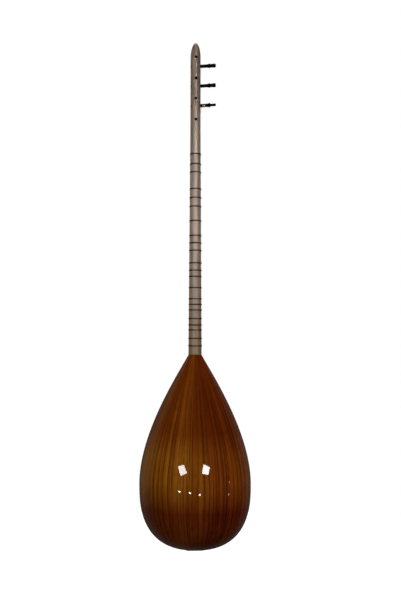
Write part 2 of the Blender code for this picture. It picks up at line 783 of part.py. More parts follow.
def plate(name, points, half_thickness_at, smooth_angle=None):
    """A plate from an outline in X and Y, with its half thickness along Z given by height."""
    front = [Vector((x, y, half_thickness_at(y))) for x, y in points]
    back = [Vector((x, y, -half_thickness_at(y))) for x, y in points]
    return loft(name, [front, back], smooth_angle)


def build_nut(neck_frame, material):
    half = NUT_WIDTH / 2
    low = NUT_SEAT_DEPTH - CLEARANCE
    top = -STRING_HEIGHT_AT_NUT - NOTCH_DEPTH
    shoulder = half - NECK_EDGE_CHAMFER
    points = [(-half, low), (-half, top / 2), (-shoulder, top)]
    points += notched_edge(STRING_AT_NUT, NOTCH_WIDTH, NOTCH_DEPTH, top)
    points += [(shoulder, top), (half, top / 2), (half, low)]
    mesh = plate("nut", points, lambda y: NUT_LENGTH / 2)
    nut = add_object("nut", mesh, neck_frame, material)
    nut.location = (0, 0, NECK_LENGTH)
    return nut


def board_top(x):
    """The face of the soundboard under the bridge, where it is at its widest."""
    return board_under(x, HALF_WIDTH) - BOARD_THICKNESS


def build_bridge(bowl_frame, material):
    """A thin bridge on three feet, standing loose on the soundboard under the strings."""
    base, top_half = BRIDGE_BASE_WIDTH / 2, BRIDGE_TOP_WIDTH / 2
    inner = base - BRIDGE_FOOT_WIDTH
    middle = BRIDGE_MIDDLE_FOOT / 2
    foot = {x: board_top(x) - CLEARANCE for x in (base, inner, middle)}
    arch = board_top(0) - CLEARANCE - BRIDGE_ARCH_HEIGHT
    lean = BRIDGE_ARCH_HEIGHT / 2
    shoulder = BRIDGE_TOP_Y + NOTCH_DEPTH + BRIDGE_HEIGHT * BRIDGE_SHOULDER_SHARE
    left = [
        (-middle, foot[middle]), (-middle - lean, arch), (-inner + lean, arch), (-inner, foot[inner]),
        (-base, foot[base]), (-base, foot[base] - lean), (-top_half - lean, shoulder),
        (-top_half, BRIDGE_TOP_Y),
    ]
    top = notched_edge(STRING_AT_BRIDGE, NOTCH_WIDTH, NOTCH_DEPTH, BRIDGE_TOP_Y)
    right = [(-x, y) for x, y in reversed(left)]
    height = board_top(0) - BRIDGE_TOP_Y

    def half_thickness(y):
        share = (board_top(0) - y) / height
        return (BRIDGE_BASE_THICKNESS + (BRIDGE_TOP_THICKNESS - BRIDGE_BASE_THICKNESS) * share) / 2

    mesh = plate("bridge", left + top + right, half_thickness)
    bridge = add_object("bridge", mesh, bowl_frame, material)
    bridge.location = (0, 0, -BRIDGE_FROM_NECK)
    return bridge


def build_holder(bowl_frame, material):
    """The block on the tail whose slots hold the strings' lower ends."""
    half = HOLDER_WIDTH / 2
    top = FACE_Y - HOLDER_ABOVE_BOARD
    low = HOLDER_BELOW_RIM
    corner = HOLDER_SLOT_DEPTH
    points = [(-half + corner, low), (-half, low - corner), (-half, top + corner), (-half + corner, top)]
    points += notched_edge(STRING_AT_BRIDGE, HOLDER_SLOT_WIDTH, HOLDER_SLOT_DEPTH, top, square=True)
    points += [(half - corner, top), (half, top + corner), (half, low - corner), (half - corner, low)]
    mesh = plate("string_holder", points, lambda y: HOLDER_THICKNESS / 2)
    holder = add_object("string_holder", mesh, bowl_frame, material)
    holder.location = (0, 0, -(BOWL_LENGTH + CLEARANCE + HOLDER_THICKNESS / 2))
    return holder


# Assembly

def build_pegs(neck_frame, peg_material, steel, bronze):
    """Front pegs 1 to 4 and side pegs 1 to 3 from the nut upwards, each with its string's winding."""
    for k, height in enumerate(FRONT_PEG_HEIGHTS):
        number = PEG_COUNT_AT_FRONT - k
        seat = front_seat(height)
        name = f"front_peg_{k + 1}"
        turn = FRONT_PEG_TURNS[k]
        frame = build_peg(name, place_front_peg, height, seat, turn, neck_frame, peg_material)
        wire = bronze if STRING_DIAMETERS[number - 1] > 0.0004 else steel
        build_winding(number, seat, 0.0, 1, frame, wire)
    for k, height in enumerate(SIDE_PEG_HEIGHTS):
        number = len(STRING_DIAMETERS) - k
        seat = side_seat(height)
        name = f"side_peg_{k + 1}"
        turn = SIDE_PEG_TURNS[k]
        frame = build_peg(name, place_side_peg, height, seat, turn, neck_frame, peg_material)
        wire = bronze if STRING_DIAMETERS[number - 1] > 0.0004 else steel
        build_winding(number, seat, math.pi / 2, -1, frame, wire)


def main():
    clear_scene()
    back_of_neck = to_bowl((0, neck_depth(HANGER_HEIGHT), HANGER_HEIGHT))
    bowl_frame = add_empty("saz_frame", location=-back_of_neck)
    neck_frame = add_empty("neck_frame", bowl_frame, (0, FACE_Y, 0), (-NECK_TILT, 0, 0))

    bowl_wood = make_material("bowl_wood", (0.34, 0.11, 0.02), 0.12)
    red_bowl_wood = make_material("red_bowl_wood", (0.27, 0.07, 0.015), 0.12)
    block_wood = make_material("block_wood", (0.50, 0.33, 0.18), 0.6)
    spruce = make_material("spruce", (0.66, 0.42, 0.18), 0.3)
    dark_wood = make_material("dark_wood", (0.06, 0.025, 0.012), 0.35)
    neck_wood = make_material("neck_wood", (0.33, 0.24, 0.17), 0.2)
    peg_wood = make_material("peg_wood", (0.008, 0.007, 0.007), 0.3)
    bone = make_material("bone", (0.78, 0.72, 0.58), 0.35)
    fret_line = make_material("fret_line", (0.035, 0.02, 0.015), 0.45)
    steel = make_material("steel", (0.65, 0.65, 0.66), 0.25, 1.0)
    bronze = make_material("bronze", (0.62, 0.42, 0.22), 0.3, 1.0)

    for index in range(STAVE_COUNT):
        build_stave(index, bowl_frame, red_bowl_wood if index == 2 else bowl_wood)
    build_neck_block(bowl_frame, neck_frame, block_wood)
    build_tail_block(bowl_frame, dark_wood)
    build_soundboard(bowl_frame, spruce)
    build_binding(bowl_frame, dark_wood)
    build_neck(neck_frame, neck_wood)
    build_nut(neck_frame, bone)
    build_bridge(bowl_frame, dark_wood)
    build_holder(bowl_frame, dark_wood)
    for index, ratio in enumerate(FRET_RATIOS):
        build_fret(index, ratio, neck_frame, fret_line)
    build_pegs(neck_frame, peg_wood, steel, bronze)
    for number, diameter in enumerate(STRING_DIAMETERS, start=1):
        build_string(number, bowl_frame, bronze if diameter > 0.0004 else steel)


main()
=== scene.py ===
"""A long-neck saz seen from behind: varnished staved bowl, pale neck, tied frets and black pegs.

Every length is in metres. Z runs up the neck, the soundboard faces -Y and the bowl's back +Y.
"""

import logging
import math
from dataclasses import dataclass
from enum import Enum
from typing import Callable, Mapping, Optional, Sequence

import bmesh
import bpy
from mathutils import Matrix, Vector
from mathutils.kdtree import KDTree


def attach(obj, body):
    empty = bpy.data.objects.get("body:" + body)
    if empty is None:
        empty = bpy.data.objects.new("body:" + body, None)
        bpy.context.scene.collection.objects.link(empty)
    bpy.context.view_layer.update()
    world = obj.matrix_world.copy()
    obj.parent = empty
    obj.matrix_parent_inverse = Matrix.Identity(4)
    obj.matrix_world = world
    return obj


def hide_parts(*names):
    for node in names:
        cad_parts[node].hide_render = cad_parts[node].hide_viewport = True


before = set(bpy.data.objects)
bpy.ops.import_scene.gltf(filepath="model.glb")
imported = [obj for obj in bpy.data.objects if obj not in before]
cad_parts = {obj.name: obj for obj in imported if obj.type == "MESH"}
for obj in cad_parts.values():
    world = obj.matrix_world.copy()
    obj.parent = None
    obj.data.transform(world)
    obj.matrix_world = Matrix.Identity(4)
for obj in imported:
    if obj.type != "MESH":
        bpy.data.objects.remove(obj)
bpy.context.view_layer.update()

LOG = logging.getLogger("saz")
# Points closer than this are one point
WELD = 1e-6
# How far apart two stations or angles lie when a direction is taken between them
STEP = 0.0005
# Edges sharper than this are rounded, and surfaces are shaded smooth up to the other angle
SHARP_DEGREES = 40
SMOOTH_DEGREES = 35

Colour = tuple[float, float, float]
Flat = tuple[float, float]
Stop = tuple[float, Colour]


# ---- Shapes shared by the sub-assemblies


def curve_point(start: Vector, bend: Vector, end: Vector, t: float) -> Vector:
    """A point of the curve that leaves start towards bend and reaches end."""
    return start * (1 - t) ** 2 + bend * 2 * t * (1 - t) + end * t * t


def superellipse(angle: float, half_width: float, depth: float, power: float) -> Flat:
    """Gives a point of a superellipse.

    Args:
        angle: From the depth's direction towards the width's, in radians.
        half_width: Half the width.
        depth: The depth from the centre.
        power: 2 for an ellipse, more for a squarer curve.

    Returns:
        The point's place across and along the depth.
    """
    sine, cosine = math.sin(angle), math.cos(angle)
    x = half_width * math.copysign(abs(sine) ** (2 / power), sine)
    y = depth * math.copysign(abs(cosine) ** (2 / power), cosine)
    return x, y


@dataclass(frozen=True)
class Plan:
    """The instrument's main sizes, and the places that follow from them."""

    clearance: float = 0.0003
    glue_line: float = 0.00005
    scale_length: float = 0.880
    neck_share: float = 0.625
    bowl_length: float = 0.4725
    bowl_width: float = 0.273
    bowl_depth: float = 0.163
    widest_from_neck: float = 0.315
    flare_slope: float = 0.48
    flare_handle: float = 0.031
    belly_handle: float = 0.130
    tail_fullness: float = 2.6
    board_thickness: float = 0.0028
    board_arch: float = 0.003
    head_length: float = 0.2215
    head_rounding: float = 0.035
    neck_width_at_bowl: float = 0.0324
    neck_width_at_nut: float = 0.0252
    head_width: float = 0.0248
    neck_depth_at_bowl: float = 0.0283
    neck_depth_at_nut: float = 0.0235
    neck_roundness: float = 2.3
    neck_edge: float = 0.001
    bridge_height: float = 0.011
    string_height_at_nut: float = 0.0020
    string_height_at_bowl: float = 0.0040
    hanger_above_nut: float = 0.0597

    @property
    def neck_length(self) -> float:
        """From the bowl to the middle of the nut."""
        return self.scale_length * self.neck_share

    @property
    def half_width(self) -> float:
        """Half the bowl's greatest width."""
        return self.bowl_width / 2

    @property
    def face_y(self) -> float:
        """The level of the soundboard's edge and of the neck's face at the bowl."""
        return -(self.clearance + self.board_thickness)

    @property
    def bridge_from_neck(self) -> float:
        """From the bowl's upper end to the bridge."""
        return self.scale_length - self.neck_length

    @property
    def bridge_top_y(self) -> float:
        """The level of the bridge's top."""
        return self.face_y - self.board_arch - self.clearance - self.bridge_height

    @property
    def neck_tilt(self) -> float:
        """How far the neck leans back from the soundboard, in radians."""
        slope = (self.face_y - self.string_height_at_bowl - self.bridge_top_y) / self.bridge_from_neck
        action = (self.string_height_at_bowl - self.string_height_at_nut) / self.neck_length
        return math.atan(slope - action)

    def to_bowl(self, point: Sequence[float]) -> Vector:
        """Takes a point from the neck's frame, Z up its face and Y into it, to the bowl's frame."""
        return Matrix.Rotation(-self.neck_tilt, 3, "X") @ Vector(point) + Vector((0, self.face_y, 0))

    @property
    def bowl_frame(self) -> Matrix:
        """The bowl's frame, with its origin in the rim's plane at the neck."""
        height = self.neck_length + self.hanger_above_nut
        back = self.to_bowl((0, self.neck_depth(height), height))
        return Matrix.Translation(-back)

    @property
    def neck_frame(self) -> Matrix:
        """The neck's frame."""
        lift = Matrix.Translation((0, self.face_y, 0))
        return self.bowl_frame @ lift @ Matrix.Rotation(-self.neck_tilt, 4, "X")

    def neck_half_width(self, height: float) -> float:
        """Gives half the neck's or the head's width.

        Args:
            height: The height above the bowl.

        Returns:
            Half the width there.
        """
        share = height / self.neck_length
        if share <= 1:
            change = self.neck_width_at_nut - self.neck_width_at_bowl
            return (self.neck_width_at_bowl + change * share) / 2
        above = (height - self.neck_length) / (self.head_length - self.head_rounding)
        change = self.head_width - self.neck_width_at_nut
        return (self.neck_width_at_nut + change * min(above, 1.0)) / 2

    def neck_depth(self, height: float) -> float:
        """The neck's or the head's depth at a height above the bowl."""
        change = self.neck_depth_at_nut - self.neck_depth_at_bowl
        return self.neck_depth_at_bowl + change * min(height / self.neck_length, 1.0)

    def neck_section(self, half_width: float, depth: float, shrink: float = 1.0) -> list[Flat]:
        """Gives the neck's outline: a round back and a flat face with rounded edges.

        Args:
            half_width: Half the section's width.
            depth: The section's depth.
            shrink: What the rounding of the edges is multiplied by.

        Returns:
            The outline's points, round the back and then across the face.
        """
        edge = self.neck_edge * shrink
        back, corner, across = 72, 5, 6
        points = []
        for i in range(back + 1):
            angle = -math.pi / 2 + math.pi * i / back
            x, y = superellipse(angle, half_width, depth - edge, self.neck_roundness)
            points.append((x, edge + y))
        for i in range(1, corner + 1):
            angle = math.pi / 2 * i / corner
            points.append((half_width - edge * (1 - math.cos(angle)), edge * (1 - math.sin(angle))))
        for i in range(1, across):
            points.append(((half_width - edge) * (1 - 2 * i / across), 0.0))
        for i in range(corner):
            angle = math.pi / 2 * (1 - i / corner)
            points.append((edge * (1 - math.cos(angle)) - half_width, edge * (1 - math.sin(angle))))
        return points

    def section_at(self, height: float) -> list[Flat]:
        """The neck's outline at a height above the bowl."""
        return self.neck_section(self.neck_half_width(height), self.neck_depth(height))

    def outline(self, u: float) -> Flat:
        """Gives the bowl's outline.

        Args:
            u: The station, 0 at the neck, 1 at the widest place and 2 at the tail.

        Returns:
            The distance from the neck, and half the width there.
        """
        joint = self.neck_width_at_bowl / 2
        if u <= 1:
            v = 1 - u
            start, handle, belly, end = v ** 3, 3 * v * v * u, 3 * v * u * u, u ** 3
            widest = self.widest_from_neck
            s = handle * self.flare_handle + belly * (widest - self.belly_handle) + end * widest
            flare = joint + self.flare_handle * self.flare_slope
            return s, start * joint + handle * flare + (belly + end) * self.half_width
        angle = (u - 1) * math.pi / 2
        power = 2 / self.tail_fullness
        rest = self.bowl_length - self.widest_from_neck
        s = self.widest_from_neck + rest * math.sin(angle) ** power
        return s, self.half_width * max(math.cos(angle), 0.0) ** power

    def outline_inset(self, u: float, inset: float) -> Flat:
        """Gives the outline moved inwards; at the neck it stays in the joint's plane.

        Args:
            u: The station, as for the outline.
            inset: How far it moves.

        Returns:
            The distance from the neck, and half the width there.
        """
        s, w = self.outline(u)
        if u >= 2:
            return s - inset, 0.0
        s0, w0 = self.outline(max(u - STEP, 0.0))
        s1, w1 = self.outline(min(u + STEP, 2.0))
        length = math.hypot(s1 - s0, w1 - w0)
        normal_s, normal_w = -(w1 - w0) / length, (s1 - s0) / length
        if u == 0:
            return s, w - inset / normal_w
        return s - inset * normal_s, max(w - inset * normal_w, 0.0)

    def bowl_point(self, u: float, angle: float) -> Vector:
        """Gives a point of the bowl's outer surface.

        Args:
            u: The station, as for the outline.
            angle: 0 at the middle of the bowl's back, in radians.

        Returns:
            The point in the bowl's frame.
        """
        s, w = self.outline(u)
        ratio = self.bowl_depth / self.half_width
        extra = self.neck_depth_at_bowl + self.face_y - ratio * self.neck_width_at_bowl / 2
        depth = ratio * w + extra * max(1 - s / self.bowl_length, 0.0) ** 2
        return Vector((w * math.sin(angle), depth * math.cos(angle), -s))

    def around(self, u: float, angle: float) -> Vector:
        """The direction round the bowl's surface, across the staves."""
        return (self.bowl_point(u, angle + STEP) - self.bowl_point(u, angle - STEP)).normalized()

    def inside_bowl(self, u: float, angle: float, inset: float) -> Vector:
        """Gives a point under the bowl's outer surface.

        Args:
            u: The station, as for the outline.
            angle: The angle, as for the bowl's point.
            inset: How far under the surface the point lies.

        Returns:
            The point in the bowl's frame.
        """
        before, after = max(u - STEP, 0.0), min(u + STEP, 2.0)
        along = self.bowl_point(after, angle) - self.bowl_point(before, angle)
        normal = self.around(u, angle).cross(along).normalized()
        return self.bowl_point(u, angle) - normal * inset

    def cap_station(self, half_width: float) -> float:
        """The station of the tail at which the outline has narrowed to a half width."""
        share = (half_width / self.half_width) ** (self.tail_fullness / 2)
        return 1 + math.acos(share) * 2 / math.pi

    def board_under(self, x: float, half: float) -> float:
        """The level of the arched soundboard's underside."""
        return -self.clearance - self.board_arch * max(half * half - x * x, 0.0) / self.half_width ** 2


PLAN = Plan()


# ---- Modelling by hand


def rest_hands() -> None:
    """Leaves edit mode and deselects everything."""
    if bpy.context.object is not None and bpy.context.object.mode != "OBJECT":
        bpy.ops.object.mode_set(mode="OBJECT")
    bpy.ops.object.select_all(action="DESELECT")


def pick(piece: bpy.types.Object) -> None:
    """Makes one piece the only selected one, and the active one."""
    rest_hands()
    piece.select_set(True)
    bpy.context.view_layer.objects.active = piece


def apply_modifier(piece: bpy.types.Object, kind: str, **settings: object) -> None:
    """Adds a modifier with these settings and applies it.

    Args:
        piece: The piece it works on.
        kind: Blender's name of the modifier's kind.
        **settings: The modifier's own settings.
    """
    pick(piece)
    modifier = piece.modifiers.new(kind.title(), kind)
    for name, value in settings.items():
        setattr(modifier, name, value)
    bpy.ops.object.modifier_apply(modifier=modifier.name)


def soften_edges(piece: bpy.types.Object, width: float, segments: int = 2) -> None:
    """Rounds a piece's sharp edges.

    Args:
        piece: The piece.
        width: The width of the rounded edges.
        segments: Their steps.
    """
    apply_modifier(
        piece, "BEVEL", width=width, segments=segments, limit_method="ANGLE",
        angle_limit=math.radians(SHARP_DEGREES), use_clamp_overlap=True,
    )


def shade(piece: bpy.types.Object, degrees: float = SMOOTH_DEGREES) -> None:
    """Shades a piece smooth up to an angle."""
    pick(piece)
    bpy.ops.object.shade_smooth_by_angle(angle=math.radians(degrees))
    apply_modifier(piece, "WEIGHTED_NORMAL", keep_sharp=True)


def combine(piece: bpy.types.Object, other: bpy.types.Object, operation: str = "DIFFERENCE") -> None:
    """Cuts another body out of a piece, or joins it to the piece, and takes it away."""
    apply_modifier(piece, "BOOLEAN", object=other, operation=operation, solver="EXACT")
    bpy.data.objects.remove(other)


def join(pieces: Sequence[bpy.types.Object]) -> bpy.types.Object:
    """Puts several pieces into the first one.

    Args:
        pieces: The pieces; the first one stays.

    Returns:
        The first piece, which now holds them all.
    """
    rest_hands()
    for piece in pieces:
        piece.select_set(True)
    bpy.context.view_layer.objects.active = pieces[0]
    bpy.ops.object.join()
    return pieces[0]


def close_up(piece: bpy.types.Object) -> None:
    """Merges a piece's doubled points and turns its faces outwards.

    Args:
        piece: The piece.
    """
    pick(piece)
    bpy.ops.object.mode_set(mode="EDIT")
    bpy.ops.mesh.select_all(action="SELECT")
    bpy.ops.mesh.remove_doubles(threshold=WELD)
    bpy.ops.mesh.normals_make_consistent(inside=False)
    bpy.ops.object.mode_set(mode="OBJECT")


def settle(piece: bpy.types.Object, place: Matrix) -> None:
    """Moves a piece's mesh to its place, with the object left at the origin."""
    piece.data.transform(piece.matrix_world)
    piece.matrix_world = Matrix.Identity(4)
    piece.data.transform(place)


def set_down(
    piece: bpy.types.Object, place: Matrix, bevel: float = 0.0, degrees: float = SMOOTH_DEGREES
) -> None:
    """Rounds a piece's edges, moves it to its place and shades it.

    Args:
        piece: The piece.
        place: Its place.
        bevel: The width of its rounded edges, or 0 to leave them.
        degrees: The angle up to which it is shaded smooth.
    """
    if bevel:
        soften_edges(piece, bevel)
    settle(piece, place)
    shade(piece, degrees)


def bent_sheet(
    columns: int, rows: int, surface: Callable[[float, float], Vector]
) -> bpy.types.Object:
    """Adds a flat grid and bends it onto a surface.

    Args:
        columns: Faces across.
        rows: Faces along.
        surface: The point for a share across and a share along, both from 0 to 1.

    Returns:
        The sheet, with a UV map that holds the two shares.
    """
    rest_hands()
    bpy.ops.mesh.primitive_grid_add(x_subdivisions=columns, y_subdivisions=rows, size=1)
    sheet = bpy.context.object
    for vertex in sheet.data.vertices:
        vertex.co = surface(vertex.co.x + 0.5, vertex.co.y + 0.5)
    return sheet


def ring_body(
    rings: Sequence[Sequence[Sequence[float]]], pole: Optional[Sequence[float]] = None
) -> bpy.types.Object:
    """Adds a filled ring and extrudes it through all the others.

    Args:
        rings: Rings with the same number of points.
        pole: Where the last ring is drawn together, or None for a flat end.

    Returns:
        The closed body.
    """
    rest_hands()
    bpy.ops.mesh.primitive_circle_add(vertices=len(rings[0]), radius=1, fill_type="NGON")
    body = bpy.context.object
    bpy.ops.object.mode_set(mode="EDIT")
    mesh = bmesh.from_edit_mesh(body.data)
    mesh.verts.index_update()
    loop = list(next(iter(mesh.faces)).verts)
    for vertex, point in zip(loop, rings[0]):
        vertex.co = point
    for points in rings[1:]:
        indices = [vertex.index for vertex in loop]
        bmesh.update_edit_mesh(body.data)
        bpy.ops.mesh.extrude_region_move()
        mesh = bmesh.from_edit_mesh(body.data)
        mesh.verts.ensure_lookup_table()
        mesh.verts.index_update()
        old = [mesh.verts[index] for index in indices]
        loop = [
            next(e.other_vert(v) for e in v.link_edges if e.other_vert(v).select) for v in old
        ]
        for vertex, point in zip(loop, points):
            vertex.co = point
    bmesh.update_edit_mesh(body.data)
    if pole is not None:
        bpy.ops.mesh.merge(type="CENTER")
        mesh = bmesh.from_edit_mesh(body.data)
        for vertex in mesh.verts:
            if vertex.select:
                vertex.co = pole
        bmesh.update_edit_mesh(body.data)
    bpy.ops.mesh.select_all(action="SELECT")
    bpy.ops.mesh.normals_make_consistent(inside=False)
    bpy.ops.object.mode_set(mode="OBJECT")
    return body


def plate(outline: Sequence[Flat], half_thickness: Callable[[float], float]) -> bpy.types.Object:
    """Extrudes an outline into a plate whose thickness may change with its height.

    Args:
        outline: The plate's outline in X and Y.
        half_thickness: Half the thickness for a Y.

    Returns:
        The plate, lying in the XY plane.
    """
    low = [(x, y, -half_thickness(y)) for x, y in outline]
    high = [(x, y, half_thickness(y)) for x, y in outline]
    return ring_body([low, high])


def wire(points: Sequence[Vector], radius: float, sides: int = 8) -> bpy.types.Object:
    """Draws a path and gives it a round section with filled ends.

    Args:
        points: The path's points.
        radius: The wire's radius.
        sides: The section's sides, an even number from 4.

    Returns:
        The wire as a mesh.
    """
    rest_hands()
    bpy.ops.curve.primitive_nurbs_path_add()
    path = bpy.context.object
    curve = path.data
    curve.splines.clear()
    spline = curve.splines.new("POLY")
    spline.points.add(len(points) - 1)
    for target, point in zip(spline.points, points):
        target.co = (*point, 1)
    curve.dimensions = "3D"
    curve.twist_mode = "MINIMUM"
    curve.bevel_depth = radius
    curve.bevel_resolution = (sides - 4) // 2
    curve.use_fill_caps = True
    pick(path)
    bpy.ops.object.convert(target="MESH")
    close_up(path)
    return path


def rounded_path(points: Sequence[Vector], reach: float, steps: int = 5) -> list[Vector]:
    """Replaces a path's corners by short curves.

    Args:
        points: The path's points.
        reach: How far from a corner its curve starts and ends.
        steps: The pieces of each curve.

    Returns:
        The new path.
    """
    path = [points[0]]
    for before, here, after in zip(points, points[1:], points[2:]):
        first = here + (before - here).normalized() * min(reach, (before - here).length / 2)
        last = here + (after - here).normalized() * min(reach, (after - here).length / 2)
        for i in range(steps + 1):
            path.append(curve_point(first, here, last, i / steps))
    path.append(points[-1])
    return path


def offset_section(points: Sequence[Flat], distance: float) -> list[Flat]:
    """Moves a closed outline outwards, with mitred corners.

    Args:
        points: The outline.
        distance: How far it moves.

    Returns:
        The moved outline.
    """
    moved = []
    count = len(points)
    for i in range(count):
        before, here, after = (Vector(points[j % count]) for j in (i - 1, i, i + 1))
        normal_in = Vector((-(here - before).y, (here - before).x)).normalized()
        normal_out = Vector((-(after - here).y, (after - here).x)).normalized()
        mitre = (normal_in + normal_out).normalized()
        place = here + mitre * distance / mitre.dot(normal_in)
        moved.append((place.x, place.y))
    return moved


def walk(points: Sequence[Flat], count: int, start: int) -> list[Flat]:
    """Spreads points evenly along a closed outline.

    Args:
        points: The outline.
        count: How many points are wanted.
        start: The index of the outline's point at which they start.

    Returns:
        The points, without a repeat of the first.
    """
    order = [Vector(points[(start + i) % len(points)]) for i in range(len(points) + 1)]
    total = sum((b - a).length for a, b in zip(order, order[1:]))
    spread = []
    k, gone = 0, 0.0
    for i in range(count):
        target = total * i / count
        while gone + (order[k + 1] - order[k]).length < target:
            gone += (order[k + 1] - order[k]).length
            k += 1
        share = (target - gone) / (order[k + 1] - order[k]).length
        place = order[k].lerp(order[k + 1], share)
        spread.append((place.x, place.y))
    return spread


def fit(
    piece: bpy.types.Object, name: str, finish: bpy.types.Material, body: str, slot: str, *nodes: str
) -> None:
    """Names and dresses a piece, and says what it rides on and stands for.

    Args:
        piece: The finished piece.
        name: Its name.
        finish: Its material.
        body: The body it moves with.
        slot: The record's material slot; not used.
        *nodes: The plain solids that it replaces.
    """
    piece.name = name
    piece.data.name = name
    piece.data.materials.clear()
    piece.data.materials.append(finish)
    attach(piece, body)
    if nodes:
        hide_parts(*nodes)
    LOG.info("%s: %d faces, rides on %s", name, len(piece.data.polygons), body)


# ---- Finishes


# The part of a noise's range in which most of its values lie
MIDDLE: Flat = (0.3, 0.7)
# How high the fibres of bare wood stand
FIBRE_HEIGHT = 0.00003


class Nodes:
    """The nodes of a material or a world, added one at a time."""

    def __init__(self, owner: bpy.types.ID) -> None:
        """Takes up the node tree of a material or a world."""
        owner.use_nodes = True
        self.tree = owner.node_tree

    def put(self, target: bpy.types.NodeSocket, value: object) -> None:
        """Links a socket, or sets a number on it.

        Args:
            target: The input.
            value: A socket, a number or a colour.
        """
        if isinstance(value, bpy.types.NodeSocket):
            self.tree.links.new(value, target)
        else:
            target.default_value = value

    def add(
        self, kind: str, inputs: Mapping[object, object], output: object = 0, **settings: object
    ) -> Optional[bpy.types.NodeSocket]:
        """Adds a node.

        Args:
            kind: Blender's name of the node's kind.
            inputs: What is linked or set, by the input's name or number.
            output: The name or number of the output that is wanted, or None.
            **settings: The node's own settings.

        Returns:
            The output's socket, if one is wanted.
        """
        made = self.tree.nodes.new(kind)
        for name, value in settings.items():
            setattr(made, name, value)
        for key, value in inputs.items():
            self.put(made.inputs[key], value)
        return None if output is None else made.outputs[output]

    def axis(self, where: bpy.types.NodeSocket, number: int) -> bpy.types.NodeSocket:
        """Takes one axis of some coordinates."""
        return self.add("ShaderNodeSeparateXYZ", {0: where}, number)

    def place(self, kind: str = "Object") -> bpy.types.NodeSocket:
        """Adds coordinates of a kind."""
        return self.add("ShaderNodeTexCoord", {}, kind)

    def math(self, operation: str, a: object, b: object = 0.0) -> bpy.types.NodeSocket:
        """Adds a Math node."""
        return self.add("ShaderNodeMath", {0: a, 1: b}, operation=operation)

    def spread(
        self, factor: bpy.types.NodeSocket, old: Flat, new: Flat = (0.0, 1.0), **settings: object
    ) -> bpy.types.NodeSocket:
        """Maps one range of numbers onto another.

        Args:
            factor: The numbers.
            old: Their range.
            new: The range wanted; what lies beyond the ends is clamped.
            **settings: The node's own settings.

        Returns:
            The new numbers' socket.
        """
        ends = {"From Min": old[0], "From Max": old[1], "To Min": new[0], "To Max": new[1]}
        return self.add("ShaderNodeMapRange", {"Value": factor, **ends}, **settings)

    def ramp(self, factor: bpy.types.NodeSocket, stops: Sequence[Stop]) -> bpy.types.NodeSocket:
        """Adds a colour ramp.

        Args:
            factor: What the ramp reads.
            stops: Its stops, in order.

        Returns:
            The colour's socket.
        """
        colour = self.add("ShaderNodeValToRGB", {0: factor})
        elements = colour.node.color_ramp.elements
        for element, (position, shade_there) in zip(elements, (stops[0], stops[-1])):
            element.position, element.color = position, (*shade_there, 1)
        for position, shade_there in stops[1:-1]:
            elements.new(position).color = (*shade_there, 1)
        return colour

    def greys(self, factor: bpy.types.NodeSocket, stops: Sequence[Flat]) -> bpy.types.NodeSocket:
        """Adds a ramp of greys."""
        return self.ramp(factor, [(position, (level,) * 3) for position, level in stops])


class Paint(Nodes):
    """A material with one principled shader."""

    def __init__(self, name: str, roughness: float, metallic: float = 0.0) -> None:
        """Starts the material.

        Args:
            name: The material's name.
            roughness: The shader's roughness where nothing is linked to it.
            metallic: 1 for metal, 0 otherwise.
        """
        self.material = bpy.data.materials.new(name)
        super().__init__(self.material)
        self.shader = self.tree.nodes["Principled BSDF"]
        self.set(Roughness=roughness, Metallic=metallic)

    def set(self, **values: object) -> None:
        """Links or sets the shader's own sockets, with _ for a blank in their names."""
        for name, value in values.items():
            self.put(self.shader.inputs[name.replace("_", " ")], value)

    def noise(
        self, scale: Sequence[float], shift: Sequence[float] = (0, 0, 0),
        detail: float = 2.0, roughness: float = 0.5,
    ) -> bpy.types.NodeSocket:
        """Adds a noise whose values lie round a half.

        Args:
            scale: What each Object coordinate is multiplied by, or each of the two of the UV map.
            shift: What is added afterwards.
            detail: The noise's detail.
            roughness: How strong the finer detail is.

        Returns:
            The noise's socket.
        """
        source = self.uv() if len(scale) == 2 else self.place()
        stretch = (*scale, 1) if len(scale) == 2 else scale
        where = self.add("ShaderNodeMapping", {"Vector": source, "Scale": stretch, "Location": shift})
        inputs = {"Vector": where, "Scale": 1.0, "Detail": detail, "Roughness": roughness}
        return self.add("ShaderNodeTexNoise", inputs)

    def uv(self) -> bpy.types.NodeSocket:
        """Adds the piece's own UV map."""
        return self.add("ShaderNodeUVMap", {}, uv_map="UVMap")

    def mix(self, factor: object, a: object, b: object, blend: str = "MIX") -> bpy.types.NodeSocket:
        """Mixes two colours.

        Args:
            factor: How much of the second one is taken.
            a: The first colour.
            b: The second colour.
            blend: Blender's name of the way they are blended.

        Returns:
            The colour's socket.
        """
        a, b = (c if isinstance(c, bpy.types.NodeSocket) else (*c, 1) for c in (a, b))
        return self.add("ShaderNodeMix", {0: factor, 6: a, 7: b}, 2, data_type="RGBA", blend_type=blend)

    def times(self, colour: object, *others: object) -> bpy.types.NodeSocket:
        """Multiplies a colour by others."""
        for other in others:
            colour = self.mix(1.0, colour, other, "MULTIPLY")
        return colour

    def bump(self, height: bpy.types.NodeSocket, distance: float) -> None:
        """Bumps the surface."""
        inputs = {"Strength": 1.0, "Distance": distance, "Height": height}
        self.set(Normal=self.add("ShaderNodeBump", inputs))

    def varnish(self, roughness: float, ior: float = 1.5, weight: float = 1.0) -> None:
        """Lays a clear varnish over the surface."""
        self.set(Coat_Weight=weight, Coat_Roughness=roughness, Coat_IOR=ior)


@dataclass(frozen=True)
class Streak:
    """A dark line in a stave: its share across the stave, its half width there and its depth."""

    place: float
    half_width: float = 0.03
    depth: float = 0.7
